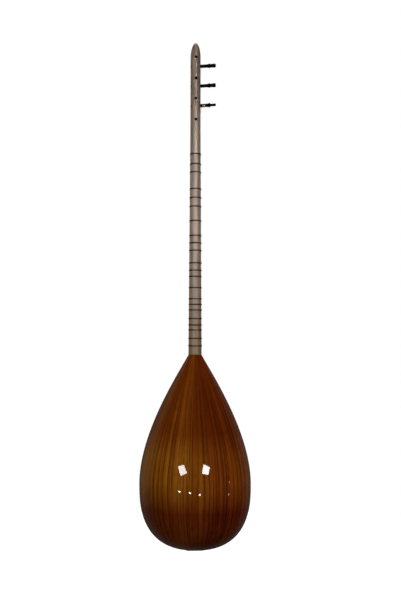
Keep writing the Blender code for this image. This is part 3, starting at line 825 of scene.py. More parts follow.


# Painted light and shade along each stave: a band of painted light across the belly, painted shade towards
# the neck and the tail
PAINTED_LIGHT_ALONG_STAVES: tuple[Stop, ...] = (
    (0.0, (0.7, 0.5, 0.5)), (0.35, (0.7, 0.5, 0.5)), (0.42, (1.0, 1.0, 1.0)),
    (0.5, (1.0, 1.0, 1.0)), (0.6, (0.45, 0.25, 0.4)), (1.0, (0.4, 0.35, 0.6)),
)


def usual_streaks(*places: float) -> tuple[Streak, ...]:
    """Streaks of the usual width and depth."""
    return tuple(Streak(place) for place in places)


@dataclass(frozen=True)
class StaveWood:
    """Orange-brown wood with dark streaks, under a thick gloss varnish."""

    name: str
    tone: Colour
    streaks: tuple[Streak, ...]
    seed: float
    light: Colour = (1.32, 1.5, 1.5)
    dark: Colour = (0.70, 0.52, 0.5)
    streak_dark: Colour = (0.30, 0.15, 0.25)
    glue: Colour = (0.022, 0.006, 0.003)
    patch_dark: Colour = (0.8, 0.72, 0.72)
    patch_light: Colour = (1.2, 1.28, 1.28)
    bands_scale: Flat = (6, 1.1)
    fibres_scale: Flat = (70, 2.4)
    flames_scale: Flat = (1.6, 26)
    patches_scale: Flat = (0.9, 3.4)
    waver_scale: Flat = (1.2, 4.2)
    strength_scale: Flat = (2.5, 11)
    seam_lines: tuple[Flat, ...] = ((0.0, 0.8), (0.022, 0.0), (0.978, 0.0), (1.0, 0.8))
    streak_fading: tuple[Flat, ...] = ((0.1, 0.35), (0.28, 0.55), (0.4, 1.0), (0.75, 1.0), (1.0, 0.5))
    streak_gaps: tuple[Flat, ...] = ((0.36, 0.40), (0.52, 1.0))
    streak_reach: float = 1.5
    streak_strength: float = 1.25
    wavering: Flat = (-0.045, 0.045)
    gloss: Flat = (0.5, 0.36)

    def make(self) -> bpy.types.Material:
        """Makes the stave's material; U is the share across it and V the share along it.

        Returns:
            The material.
        """
        paint = Paint(self.name, self.gloss[0])
        across, along = (paint.axis(paint.uv(), number) for number in (0, 1))
        seed = self.seed
        bands = paint.noise(self.bands_scale, (seed * 3, 0, 1), 3, 0.6)
        fibres = paint.noise(self.fibres_scale, (seed, 0, 2), 4, 0.7)
        flames = paint.noise(self.flames_scale, (0, seed, 3))
        patches = paint.noise(self.patches_scale, (seed * 2, seed, 6))
        waver = paint.noise(self.waver_scale, (seed, seed, 0), 3, 0.6)
        strength = paint.noise(self.strength_scale, (seed, 5, 4), 3, 0.6)
        tone = [(0.32, self.tinted(self.dark)), (0.5, self.tone), (0.68, self.tinted(self.light))]
        fibre_shade = paint.spread(fibres, MIDDLE, (0.66, 1.22))
        shadow = paint.math("MULTIPLY", fibre_shade, paint.spread(flames, (0.35, 0.65), (0.93, 1.06)))
        grey = paint.add("ShaderNodeCombineColor", {0: shadow, 1: shadow, 2: shadow})
        patch = paint.ramp(patches, [(0.3, self.patch_dark), (0.7, self.patch_light)])
        # Painted light across the belly and painted shade towards the neck and the tail, laid over the wood
        # and its streaks
        painted_light = paint.ramp(along, PAINTED_LIGHT_ALONG_STAVES)
        colour = paint.times(paint.ramp(bands, tone), grey, patch, painted_light)
        wavering = paint.math("ADD", across, paint.spread(waver, MIDDLE, self.wavering))
        lines = paint.times(
            paint.greys(wavering, self.line_stops()),
            paint.greys(strength, self.streak_gaps), paint.greys(along, self.streak_fading),
        )
        colour = paint.mix(lines, colour, paint.times(painted_light, self.tinted(self.streak_dark)))
        colour = paint.mix(paint.greys(across, self.seam_lines), colour, self.glue)
        polish = paint.spread(fibres, MIDDLE, self.gloss)
        paint.set(Base_Color=colour, Roughness=polish, Specular_IOR_Level=0.0)
        paint.varnish(0.02, 1.45)
        return paint.material

    def tinted(self, factors: Colour) -> Colour:
        """The stave's tone with each channel multiplied by a factor."""
        return tuple(channel * factor for channel, factor in zip(self.tone, factors))

    def line_stops(self) -> list[Flat]:
        """Gives the ramp's stops that draw the streaks across the stave.

        Returns:
            Places across the stave with the strength of the dark line there.
        """
        stops = [(0.0, 0.0)]
        for streak in self.streaks:
            reach = streak.half_width * self.streak_reach
            stops += [(streak.place - reach, 0.0), (streak.place, streak.depth * self.streak_strength)]
            stops.append((streak.place + reach, 0.0))
        return [*stops, (1.0, 0.0)]


@dataclass(frozen=True)
class LongGrain:
    """Wood whose fibres run along Z."""

    name: str
    light: Colour
    dark: Colour
    fibre_size: float = 0.0009
    fibre_length: float = 0.06
    contrast: float = 0.25
    roughness: float = 0.45
    varnish: float = 0.0
    varnish_roughness: float = 0.05
    # Stops of painted light and shade along the height, and the heights they span
    painted_light_stops: tuple[Stop, ...] = ()
    painted_light_heights: Flat = (-0.62, 0.18)
    pore_stops: tuple[Flat, ...] = ((0.66, 0.0), (0.74, 0.55))
    pore_dark: float = 0.45

    def make(self) -> bpy.types.Material:
        """Makes the material; the painted light and shade follow the height, low first.

        Returns:
            The material.
        """
        paint = Paint(self.name, self.roughness)
        fine, long = 1 / self.fibre_size, 1 / self.fibre_length
        fibres = paint.noise((fine, fine, long), (0, 0, 0), 4, 0.6)
        cloud = paint.noise((fine / 9, fine / 9, long / 2), (3, 1, 7))
        pores = paint.noise((fine * 2.5, fine * 2.5, long * 6), (9, 4, 2), 1)
        colour = paint.ramp(cloud, [(0.3, self.dark), (0.7, self.light)])
        colour = paint.times(colour, paint.greys(fibres, [(0.3, 1 - self.contrast), (0.7, 1.0)]))
        # Painted light and shade that change with the height
        if self.painted_light_stops:
            height = paint.spread(paint.axis(paint.place(), 2), self.painted_light_heights)
            colour = paint.times(colour, paint.ramp(height, self.painted_light_stops))
        pore = paint.greys(pores, self.pore_stops)
        colour = paint.mix(pore, colour, tuple(channel * self.pore_dark for channel in self.dark))
        polish = paint.spread(fibres, MIDDLE, (self.roughness * 1.15, self.roughness * 0.85))
        paint.set(Base_Color=colour, Roughness=polish)
        paint.bump(fibres, FIBRE_HEIGHT)
        if self.varnish:
            paint.varnish(self.varnish_roughness, weight=self.varnish)
            paint.set(Specular_IOR_Level=0.2)
        return paint.material


@dataclass(frozen=True)
class BoardWood:
    """A soundboard's bookmatched softwood, with a dark inlaid line inside its edge."""

    name: str = "soundboard_spruce"
    spring: Colour = (0.62, 0.36, 0.14)
    autumn: Colour = (0.38, 0.17, 0.05)
    ring_spacing: float = 0.0016
    ring_sway: Flat = (-0.0016, 0.0016)
    inlay: Colour = (0.03, 0.012, 0.006)
    inlay_in_centimetres: tuple[Flat, ...] = ((0.0, 0.0), (0.50, 0.0), (0.52, 1.0), (0.64, 1.0), (0.66, 0.0))
    seam: Colour = (0.12, 0.05, 0.02)
    seam_in_millimetres: tuple[Flat, ...] = ((0.0, 0.6), (0.25, 0.0))

    def make(self) -> bpy.types.Material:
        """Makes the material; the attribute edge holds the distance from the outline.

        Returns:
            The material.
        """
        paint = Paint(self.name, 0.4)
        from_seam = paint.math("ABSOLUTE", paint.axis(paint.place(), 0))
        sway = paint.noise((9, 9, 2.2))
        silk = paint.noise((260, 40, 34), (2, 2, 2))
        fibres = paint.noise((1400, 500, 16), (0, 0, 0), 3)
        swayed = paint.math("ADD", from_seam, paint.spread(sway, MIDDLE, self.ring_sway))
        rings = paint.math("FRACT", paint.math("DIVIDE", swayed, self.ring_spacing))
        ring = [(0.0, self.spring), (0.55, self.spring), (0.88, self.autumn), (1.0, self.spring)]
        wood = paint.ramp(rings, ring)
        sheen = paint.ramp(silk, [(0.3, (0.86,) * 3), (0.7, (1.06, 1.04, 1.0))])
        wood = paint.times(wood, sheen, paint.greys(fibres, [(0.3, 0.84), (0.7, 1.0)]))
        edge = paint.add("ShaderNodeAttribute", {}, "Fac", attribute_name="edge")
        inlay = paint.greys(paint.math("MULTIPLY", edge, 100), self.inlay_in_centimetres)
        colour = paint.mix(inlay, wood, self.inlay)
        seam = paint.greys(paint.math("MULTIPLY", from_seam, 1000), self.seam_in_millimetres)
        paint.set(Base_Color=paint.mix(seam, colour, self.seam))
        paint.bump(fibres, FIBRE_HEIGHT)
        paint.varnish(0.09)
        return paint.material


@dataclass(frozen=True)
class PlainFinish:
    """A finish of one colour, finely clouded: bone, nylon line, black wood or wire."""

    name: str
    colour: Colour
    roughness: float
    grain: tuple[float, float, float] = (400.0, 400.0, 400.0)
    contrast: float = 0.2
    bump: float = 0.00002
    metallic: float = 0.0
    specular: float = 0.5

    def make(self) -> bpy.types.Material:
        """Makes the material.

        Returns:
            The material.
        """
        paint = Paint(self.name, self.roughness, self.metallic)
        cloud = paint.noise(self.grain, (0, 0, 0), 3, 0.6)
        low = tuple(channel * (1 - self.contrast) for channel in self.colour)
        high = tuple(min(channel * (1 + self.contrast), 1.0) for channel in self.colour)
        colour = paint.ramp(cloud, [(0.3, low), (0.7, high)])
        polish = paint.spread(cloud, MIDDLE, (self.roughness * 1.2, self.roughness * 0.8))
        paint.set(Base_Color=colour, Roughness=polish, Specular_IOR_Level=self.specular)
        paint.bump(cloud, self.bump)
        return paint.material


# ---- Bowl


class Slot(Enum):
    """The record's material slots."""

    BOWL = "bowl_wood"
    BOARD = "spruce"
    DARK = "dark_wood"
    NECK = "neck_wood"
    PEG = "peg_wood"
    BONE = "bone"
    LINE = "fret_line"
    STEEL = "steel_wire"
    BRONZE = "bronze_wire"


# Painted light and shade along the neck: painted shade at its lower end and at the head, lighter between them
NECK_PAINTED_LIGHT: tuple[Stop, ...] = (
    (0.0, (0.8, 0.7, 0.5)), (0.2, (1.0, 0.97, 0.93)), (0.6, (0.95, 0.97, 1.0)), (0.8, (0.72, 0.7, 0.67)),
)

STAVE_WOODS: tuple[StaveWood, ...] = (
    StaveWood("stave_wood_1", (0.17, 0.055, 0.008), usual_streaks(0.35, 0.72), 1.7),
    StaveWood(
        "stave_wood_2", (0.20, 0.055, 0.006), (Streak(0.22), Streak(0.5, 0.02, 0.5), Streak(0.76)), 2.9
    ),
    StaveWood(
        "stave_wood_3", (0.18, 0.040, 0.003), (*usual_streaks(0.3, 0.62), Streak(0.93, 0.04, 0.9)), 4.1
    ),
    StaveWood("stave_wood_4", (0.14, 0.030, 0.003), usual_streaks(0.08, 0.25, 0.52, 0.8), 5.3),
    StaveWood("stave_wood_5", (0.16, 0.044, 0.003), usual_streaks(0.02, 0.28, 0.55, 0.85), 6.1),
    StaveWood("stave_wood_6", (0.20, 0.064, 0.005), usual_streaks(0.12, 0.3, 0.58, 0.88), 7.4),
    StaveWood("stave_wood_7", (0.17, 0.050, 0.003), usual_streaks(0.08, 0.4, 0.66, 0.95), 8.2),
    StaveWood("stave_wood_8", (0.17, 0.060, 0.006), usual_streaks(0.3, 0.66), 9.6),
    StaveWood("stave_wood_9", (0.16, 0.065, 0.010), (Streak(0.4), Streak(0.75, 0.04, 0.5)), 10.3),
)


@dataclass
class Bowl:
    """The staved shell with its tail cap, blocks, soundboard and binding."""

    stave_thickness: float = 0.003
    cap_radius: float = 0.028
    tail_block_height: float = 0.030
    sound_hole_radius: float = 0.009
    sound_hole_from_rim: float = 0.0155
    binding_width: float = 0.0015
    seam: float = 0.00004
    across: int = 16
    along: int = 110
    stave_bevel: float = 0.00006
    cap_bevel: float = 0.0004
    cap_overlap: float = 0.22
    cap_columns: int = 72
    cap_rings: tuple[int, int] = (8, 14)
    hole_sides: int = 64
    board_bevel: float = 0.0003
    board_faces: tuple[int, int] = (40, 130)
    board_degrees: float = 30
    binding_stations: int = 120

    def build_stave(self, index: int) -> None:
        """Bends, thickens and dresses one stave.

        Args:
            index: 0 at the -X rim, 8 at the +X rim.
        """
        count = len(STAVE_WOODS)
        first = -math.pi / 2 + index * math.pi / count
        end = PLAN.cap_station(self.cap_radius)
        low = 0.0 if index == 0 else self.seam / 2
        high = 0.0 if index == count - 1 else self.seam / 2

        def surface(u: float, v: float) -> Vector:
            """Gives a point of the stave's outside, a little in from the seams.

            Args:
                u: The share across.
                v: The share along.

            Returns:
                The point in the bowl's frame.
            """
            station = end * v
            angle = first + math.pi / count * u
            point = PLAN.bowl_point(station, angle)
            if u < WELD:
                point += PLAN.around(station, angle) * low
            elif u > 1 - WELD:
                point -= PLAN.around(station, angle) * high
            return point

        stave = bent_sheet(self.across, self.along, surface)
        self.turn_outwards(stave)
        apply_modifier(stave, "SOLIDIFY", thickness=self.stave_thickness, offset=-1, use_even_offset=True)
        set_down(stave, PLAN.bowl_frame, self.stave_bevel)
        name = f"stave_{index + 1}"
        fit(stave, f"{name}_wood", STAVE_WOODS[index].make(), "saz", Slot.BOWL.value, name)

    @staticmethod
    def turn_outwards(sheet: bpy.types.Object) -> None:
        """Turns an open sheet's faces away from the bowl's middle line.

        Args:
            sheet: The open sheet.
        """
        middle = sheet.data.polygons[len(sheet.data.polygons) // 2]
        out = Vector((middle.center.x, middle.center.y + STEP, 0))
        if middle.normal.dot(out) < 0:
            sheet.data.flip_normals()

    def build_tail_block(self, finish: bpy.types.Material) -> None:
        """Builds the block that closes the tail, its outside flush with the staves, and its hole.

        Args:
            finish: Its material.
        """
        cap = PLAN.cap_station(self.cap_radius - PLAN.clearance)
        start = cap - self.cap_overlap
        angles = [-math.pi / 2 + math.pi * i / self.cap_columns for i in range(self.cap_columns + 1)]
        inset = self.stave_thickness + PLAN.clearance
        inside, outside = self.cap_rings
        inner = [start + (cap - start) * i / inside for i in range(inside + 1)]
        rings = [[PLAN.inside_bowl(u, angle, inset) for angle in angles] for u in inner]
        top = self.tail_block_height - PLAN.bowl_length
        rings.insert(0, [Vector((point.x, point.y, top)) for point in rings[0]])
        for i in range(outside):
            u = cap + (2 - cap) * i / outside
            rings.append([PLAN.bowl_point(u, angle) for angle in angles])
        block = ring_body(rings, (0, 0, -PLAN.bowl_length))
        rest_hands()
        bpy.ops.mesh.primitive_cylinder_add(
            vertices=self.hole_sides, radius=self.sound_hole_radius, depth=4 * self.tail_block_height,
            location=(0, self.sound_hole_from_rim, -PLAN.bowl_length),
        )
        combine(block, bpy.context.object)
        set_down(block, PLAN.bowl_frame, self.cap_bevel)
        fit(block, "tail_cap", finish, "saz", Slot.DARK.value, "tail_block")

    def build_soundboard(self) -> None:
        """Bends and thickens the arched soundboard."""
        inset = self.binding_width + PLAN.clearance

        def surface(u: float, v: float) -> Vector:
            """Gives a point of the soundboard's underside.

            Args:
                u: The share across.
                v: The share along.

            Returns:
                The point in the bowl's frame.
            """
            s, half = PLAN.outline_inset(2 * v, inset)
            x = half * (2 * u - 1)
            return Vector((x, PLAN.board_under(x, max(PLAN.outline(2 * v)[1], half)), -s))

        board = bent_sheet(*self.board_faces, surface)
        mesh = board.data
        edge = mesh.attributes.new("edge", "FLOAT", "POINT")
        outline = self.outline_tree()
        for vertex in mesh.vertices:
            edge.data[vertex.index].value = outline.find((abs(vertex.co.x), 0, vertex.co.z))[2]
        close_up(board)
        if board.data.polygons[0].normal.y > 0:
            board.data.flip_normals()
        apply_modifier(board, "SOLIDIFY", thickness=PLAN.board_thickness, offset=1, use_even_offset=True)
        set_down(board, PLAN.bowl_frame, self.board_bevel, self.board_degrees)
        fit(board, "soundboard_plate", BoardWood().make(), "saz", Slot.BOARD.value, "soundboard")

    @staticmethod
    def outline_tree(count: int = 4000) -> KDTree:
        """Gives half the soundboard's outline as close points, to measure distances from it.

        Args:
            count: Into how many pieces the outline is divided.

        Returns:
            The points, ready for a search.
        """
        tree = KDTree(count + 1)
        for i in range(count + 1):
            distance, half = PLAN.outline(2 * i / count)
            tree.insert((half, 0, -distance), i)
        tree.balance()
        return tree

    def build_binding(self, finish: bpy.types.Material) -> None:
        """Builds the strip round the soundboard's edge.

        Args:
            finish: Its material.
        """
        low, high = PLAN.face_y, -PLAN.glue_line
        stations = [2 * i / self.binding_stations for i in range(self.binding_stations + 1)]
        sides = [(u, 1) for u in stations] + [(u, -1) for u in reversed(stations[:-1])]
        rings = []
        for u, side in sides:
            s, w = PLAN.outline(u)
            s_in, w_in = PLAN.outline_inset(u, self.binding_width)
            outer = [(side * w, y, -s) for y in (low, high)]
            rings.append(outer + [(side * w_in, y, -s_in) for y in (high, low)])
        strip = ring_body(rings)
        set_down(strip, PLAN.bowl_frame, self.board_bevel)
        fit(strip, "soundboard_edge_strip", finish, "saz", Slot.DARK.value, "soundboard_binding")

    def build(self, dark_wood: bpy.types.Material, block_wood: bpy.types.Material) -> None:
        """Builds the whole bowl and dresses the block inside it.

        Args:
            dark_wood: The material of the tail block and the binding.
            block_wood: The material of the block inside.
        """
        for index in range(len(STAVE_WOODS)):
            self.build_stave(index)
        self.build_tail_block(dark_wood)
        self.build_soundboard()
        self.build_binding(dark_wood)
        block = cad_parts["neck_block"]
        block.data.materials.clear()
        block.data.materials.append(block_wood)


# ---- Neck and frets


class PegRow(Enum):
    """On which side of the head a peg's grip stands."""

    FRONT = "front"
    SIDE = "side"


@dataclass(frozen=True)
class PegPlace:
    """One peg's place in the head, the turn of its grip and the string wound on it."""

    row: PegRow
    order: int
    height: float
    turn: float
    string: int
    rise: float = math.radians(4.5)
    from_face: float = 0.0105
    tip_radius: float = 0.0037
    taper: float = 1 / 100
    proud: float = 0.0004

    @property
    def name(self) -> str:
        """The peg's name in the record."""
        return f"{self.row.value}_peg_{self.order}"

    @property
    def level(self) -> float:
        """The peg's height above the bowl."""
        return PLAN.neck_length + self.height

    @property
    def entry(self) -> float:
        """Half the head's width at the depth where a side peg goes through.

        Returns:
            The distance from the head's middle, in metres.
        """
        depth = PLAN.neck_depth(self.level) - PLAN.neck_edge
        share = (self.from_face - PLAN.neck_edge) / depth
        power = PLAN.neck_roundness
        return PLAN.neck_half_width(self.level) * (1 - share ** power) ** (1 / power)

    @property
    def seat(self) -> float:
        """How far the peg goes through the wood."""
        if self.row is PegRow.FRONT:
            return PLAN.neck_depth(self.level)
        return 2 * self.entry / math.cos(self.rise)

    @property
    def matrix(self) -> Matrix:
        """The peg's frame, whose Z leaves the head towards the grip.

        Returns:
            The frame, in the space of the whole instrument.
        """
        if self.row is PegRow.FRONT:
            turn = Vector((0, -1, 0)).to_track_quat("Z", "X")
            place = Vector((0, 0, self.level))
        else:
            axis = Vector((-math.cos(self.rise), 0, math.sin(self.rise)))
            turn = axis.to_track_quat("Z", "Y")
            place = Vector((-self.entry, self.from_face, self.level))
        return PLAN.neck_frame @ Matrix.Translation(place) @ turn.to_matrix().to_4x4()

    def radius(self, along: float) -> float:
        """The shank's radius at a distance from the head's surface."""
        return self.tip_radius + self.taper * (self.seat + self.proud + along)


PEG_PLACES: tuple[PegPlace, ...] = (
    PegPlace(PegRow.FRONT, 1, 0.030, 20, 4),
    PegPlace(PegRow.FRONT, 2, 0.0815, 75, 3),
    PegPlace(PegRow.FRONT, 3, 0.132, 110, 2),
    PegPlace(PegRow.FRONT, 4, 0.1834, 160, 1),
    PegPlace(PegRow.SIDE, 1, 0.0655, 0, 7),
    PegPlace(PegRow.SIDE, 2, 0.1144, 90, 6),
    PegPlace(PegRow.SIDE, 3, 0.1633, 90, 5),
)


@dataclass
class Neck:
    """The neck and head in one piece, with its nut and its tied frets."""

    set_back: float = 0.3
    nut_length: float = 0.0045
    nut_seat_depth: float = 0.0015
    nut_width: float = 0.0236
    tenon: tuple[float, float, float] = (0.012, 0.014, 0.030)
    tenon_from_face: float = 0.007
    cutter_reach: float = 0.006
    cutter_sides: int = 48
    body_rings: int = 56
    tip_rings: int = 18
    neck_bevel: float = 0.00022
    neck_degrees: float = 32
    nut_bevel: float = 0.00025
    nut_corner: tuple[Flat, ...] = ((0.0, 0.55), (0.0009, 0.9), (0.0018, 1.0))
    line_lift: float = 0.0001
    line_sides: int = 6
    line_degrees: float = 60
    loop_points: int = 120
    loop_start: int = 3
    knot_gap: float = 0.00022
    knot_line: float = 0.85
    knot_size: float = 1.2
    knot_turn: float = 0.5
    knot_steps: int = 30
    knot_closed: float = 0.93
    knot_start: float = 0.2
    knot_flatness: float = 0.45
    knot_from_loop: float = 0.0006
    line_radius: float = 0.00038
    line_pitch: float = 0.00079
    line_turns: int = 4
    fret_ratios: tuple[float, ...] = (
        16 / 15, 11 / 10, 44 / 39, 81 / 68, 27 / 22, 81 / 64, 4 / 3, 24 / 17, 16 / 11, 3 / 2, 19 / 12,
        18 / 11, 32 / 19, 16 / 9, 32 / 17, 64 / 33, 2 / 1, 21 / 10, 24 / 11, 9 / 4, 19 / 8, 5 / 2,
    )

    def build_neck(self, finish: bpy.types.Material) -> None:
        """Extrudes the neck up to the head's tip, then cuts the nut's seat and the peg holes.

        Args:
            finish: Its material.
        """
        sine, cosine = math.sin(PLAN.neck_tilt), math.cos(PLAN.neck_tilt)
        rings = [[(x, y, (PLAN.glue_line + y * sine) / cosine) for x, y in PLAN.section_at(0)]]
        shoulder = PLAN.neck_length + PLAN.head_length - PLAN.head_rounding
        for i in range(1, self.body_rings + 1):
            height = shoulder * i / self.body_rings
            rings.append([(x, y, height) for x, y in PLAN.section_at(height)])
        half, depth = PLAN.neck_half_width(shoulder), PLAN.neck_depth(shoulder)
        for i in range(1, self.tip_rings):
            angle = math.pi / 2 * i / self.tip_rings
            share = math.cos(angle)
            back = depth * (1 - share) * self.set_back
            section = PLAN.neck_section(half * share, depth * share, share)
            height = shoulder + PLAN.head_rounding * math.sin(angle)
            rings.append([(x, y + back, height) for x, y in section])
        tip = (0, depth * self.set_back, shoulder + PLAN.head_rounding)
        neck = ring_body(rings, tip)
        self.join_tenon(neck)
        combine(neck, self.nut_cutter())
        settle(neck, PLAN.neck_frame)
        combine(neck, self.peg_cutter())
        soften_edges(neck, self.neck_bevel, 1)
        close_up(neck)
        shade(neck, self.neck_degrees)
        fit(neck, "neck_and_head", finish, "saz", Slot.NECK.value, "neck")

    def join_tenon(self, neck: bpy.types.Object) -> None:
        """Joins the tenon that the block in the bowl holds.

        Args:
            neck: The neck, still in its own frame.
        """
        width, depth, length = self.tenon
        rest_hands()
        centre = (0, self.tenon_from_face + depth / 2, (self.tenon_from_face - length) / 2)
        size = (width, depth, length + self.tenon_from_face)
        bpy.ops.mesh.primitive_cube_add(size=1, location=centre, scale=size)
        combine(neck, bpy.context.object, "UNION")

    def nut_cutter(self) -> bpy.types.Object:
        """A block that stands where the nut's seat is.

        Returns:
            The block.
        """
        rest_hands()
        reach = PLAN.neck_width_at_bowl
        seat = self.nut_length + 2 * PLAN.clearance
        bpy.ops.mesh.primitive_cube_add(
            size=1, location=(0, (self.nut_seat_depth - reach) / 2, PLAN.neck_length),
            scale=(2 * reach, self.nut_seat_depth + reach, seat),
        )
        return bpy.context.object

    def peg_cutter(self) -> bpy.types.Object:
        """Makes all the pegs' tapered holes as one cutter.

        Returns:
            The cutter, in its place.
        """
        over = self.cutter_reach
        cones = []
        for place in PEG_PLACES:
            rest_hands()
            bpy.ops.mesh.primitive_cone_add(
                vertices=self.cutter_sides,
                radius1=place.radius(-place.seat - over) + PLAN.clearance,
                radius2=place.radius(over) + PLAN.clearance,
                depth=place.seat + 2 * over,
            )
            cone = bpy.context.object
            cone.data.transform(place.matrix @ Matrix.Translation((0, 0, -place.seat / 2)))
            cones.append(cone)
        return join(cones)

    def build_nut(self, strings: "Strings", finish: bpy.types.Material) -> None:
        """Builds the grooved nut.

        Args:
            strings: The strings, which give the grooves' places.
            finish: The nut's material.
        """
        half = self.nut_width / 2
        low = self.nut_seat_depth - PLAN.clearance
        top = -PLAN.string_height_at_nut - strings.notch_depth
        left = [(-half, low)] + [(-half + inset, top * share) for inset, share in self.nut_corner]
        outline = left + strings.notches(strings.at_nut, top) + [(-x, y) for x, y in reversed(left)]
        nut = plate(outline, lambda y: self.nut_length / 2)
        set_down(nut, PLAN.neck_frame @ Matrix.Translation((0, 0, PLAN.neck_length)), self.nut_bevel)
        fit(nut, "string_nut", finish, "saz", Slot.BONE.value, "nut")

    def build_fret(self, index: int, ratio: float, finish: bpy.types.Material) -> None:
        """Winds the turns of line round the neck and ties them at its edge.

        Args:
            index: 0 at the nut.
            ratio: By how much the fret raises the open string.
            finish: The line's material.
        """
        height = PLAN.neck_length - PLAN.scale_length * (1 - 1 / ratio)
        rope = self.line_radius
        section = PLAN.section_at(height)
        outline = offset_section(section, self.line_lift + rope)
        loop = walk(outline, self.loop_points, len(section) - self.loop_start)
        path = []
        for i in range(self.line_turns * len(loop) + 1):
            x, y = loop[i % len(loop)]
            rise = (i / len(loop) - self.line_turns / 2) * self.line_pitch
            path.append(Vector((x, y, rise)))
        widest = min(x for x, _ in section)
        knot_rope = rope * self.knot_line
        beside = Vector((widest - self.knot_gap - knot_rope, loop[0][1], 0.0))
        knot = self.knot_path(beside, index)
        turns = join([wire(path, rope, self.line_sides), wire(knot, knot_rope, self.line_sides)])
        set_down(turns, PLAN.neck_frame @ Matrix.Translation((0, 0, height)), degrees=self.line_degrees)
        name = f"fret_{index + 1:02d}"
        fit(turns, f"{name}_line", finish, name, Slot.LINE.value, name)

    def knot_path(self, at: Vector, index: int) -> list[Vector]:
        """Gives the path of a small overhand knot with two cut ends, beside the neck.

        Args:
            at: The place beside the neck that the knot's line just reaches.
            index: The fret's number, which turns its knot a little.

        Returns:
            The path of the knot's line.
        """
        size = self.line_radius * self.knot_size
        swing = Matrix.Rotation(self.knot_turn * index, 3, "X")
        points = []
        for i in range(self.knot_steps + 1):
            t = 2 * math.pi * (i / self.knot_steps) * self.knot_closed + self.knot_start
            x = size * (math.sin(t) + 2 * math.sin(2 * t)) * self.knot_flatness
            y = size * (math.cos(t) - 2 * math.cos(2 * t))
            z = size * -math.sin(3 * t)
            points.append(at + Vector((0, self.knot_from_loop, 0)) + swing @ Vector((x, y, z)))
        reach = max(point.x for point in points) - at.x
        return [point - Vector((reach, 0, 0)) for point in points]

    def build(self, wood: bpy.types.Material, line: bpy.types.Material) -> None:
        """Builds the neck and all its frets."""
        self.build_neck(wood)
        for index, ratio in enumerate(self.fret_ratios):
            self.build_fret(index, ratio, line)


# ---- Pegs


# The turned profiles: a distance from the tip, or below the collar, and a share of the radius there
TIP_PROFILE: tuple[Flat, ...] = ((0.0, 0.55), (0.00015, 0.86), (0.0005, 0.985))
BEAD_PROFILE: tuple[Flat, ...] = ((0.0026, 1.0), (0.0022, 1.1), (0.0014, 1.16), (0.0006, 1.1), (0.0003, 1.03))
# A share of the collar's length and a share of its radius
COLLAR_PROFILE: tuple[Flat, ...] = ((0.08, 0.86), (0.26, 0.97), (0.46, 1.0), (0.66, 0.95), (0.84, 0.82))
# Shares of the grip's length, half width and half thickness, and its squareness
GRIP_PROFILE: tuple[tuple[float, float, float, float], ...] = (
    (0.0, 0.88, 1.16, 2.2), (0.07, 0.86, 1.05, 2.5), (0.2, 0.93, 0.98, 2.8), (0.4, 0.99, 0.97, 3.0),
    (0.6, 1.02, 1.0, 3.0), (0.78, 1.02, 1.04, 2.9), (0.91, 0.97, 1.02, 2.7), (0.965, 0.84, 0.88, 2.4),
    (0.992, 0.55, 0.6, 2.1),
)


@dataclass
class Pegs:
    """Seven turned pegs with flattened grips."""

    shank: float = 0.0205
    collar_radius: float = 0.0058
    collar_length: float = 0.0042
    grip_length: float = 0.0138
    half_width: float = 0.00485
    half_thickness: float = 0.0030
    tip_length: float = 0.0012
    sides: int = 28
    degrees: float = 70

    def stations(self, place: PegPlace) -> list[tuple[float, float, float, float]]:
        """Gives the peg's turned profile.

        Args:
            place: The peg's place, which gives its shank.

        Returns:
            Positions along the peg with half width, half thickness and squareness.
        """
        tip = -place.seat - place.proud
        start, collar = self.shank, self.shank + self.collar_length
        straight = (tip + self.tip_length, -place.seat / 2, 0.0, start * 0.6)
        turned = [(tip + along, place.tip_radius * share) for along, share in TIP_PROFILE]
        turned += [(along, place.radius(along)) for along in straight]
        turned += [(start - below, place.radius(start) * share) for below, share in BEAD_PROFILE]
        length, bead = self.collar_length, self.collar_radius
        turned += [(start + length * along, bead * share) for along, share in COLLAR_PROFILE]
        stations = [(along, radius, radius, 2.0) for along, radius in turned]
        for along, wide, thin, power in GRIP_PROFILE:
            place_along = collar + self.grip_length * along
            stations.append((place_along, self.half_width * wide, self.half_thickness * thin, power))
        return stations

    def build_peg(self, place: PegPlace, finish: bpy.types.Material) -> None:
        """Turns one peg and flattens its grip.

        Args:
            place: The peg's place.
            finish: Its material.
        """
        rings = []
        for along, half_width, half_thickness, power in self.stations(place):
            angles = [2 * math.pi * (i + 0.5) / self.sides for i in range(self.sides)]
            section = [superellipse(angle, half_width, half_thickness, power) for angle in angles]
            rings.append([(x, y, along) for x, y in section])
        peg = ring_body(rings, (0, 0, self.shank + self.collar_length + self.grip_length))
        apply_modifier(peg, "SUBSURF", levels=1, render_levels=1)
        turn = Matrix.Rotation(math.radians(place.turn), 4, "Z")
        set_down(peg, place.matrix @ turn, degrees=self.degrees)
        fit(peg, f"{place.name}_turned", finish, place.name, Slot.PEG.value, place.name)

    def build(self, finish: bpy.types.Material) -> None:
        """Builds all the pegs."""
        for place in PEG_PLACES:
            self.build_peg(place, finish)


# ---- Strings, bridge and string holder


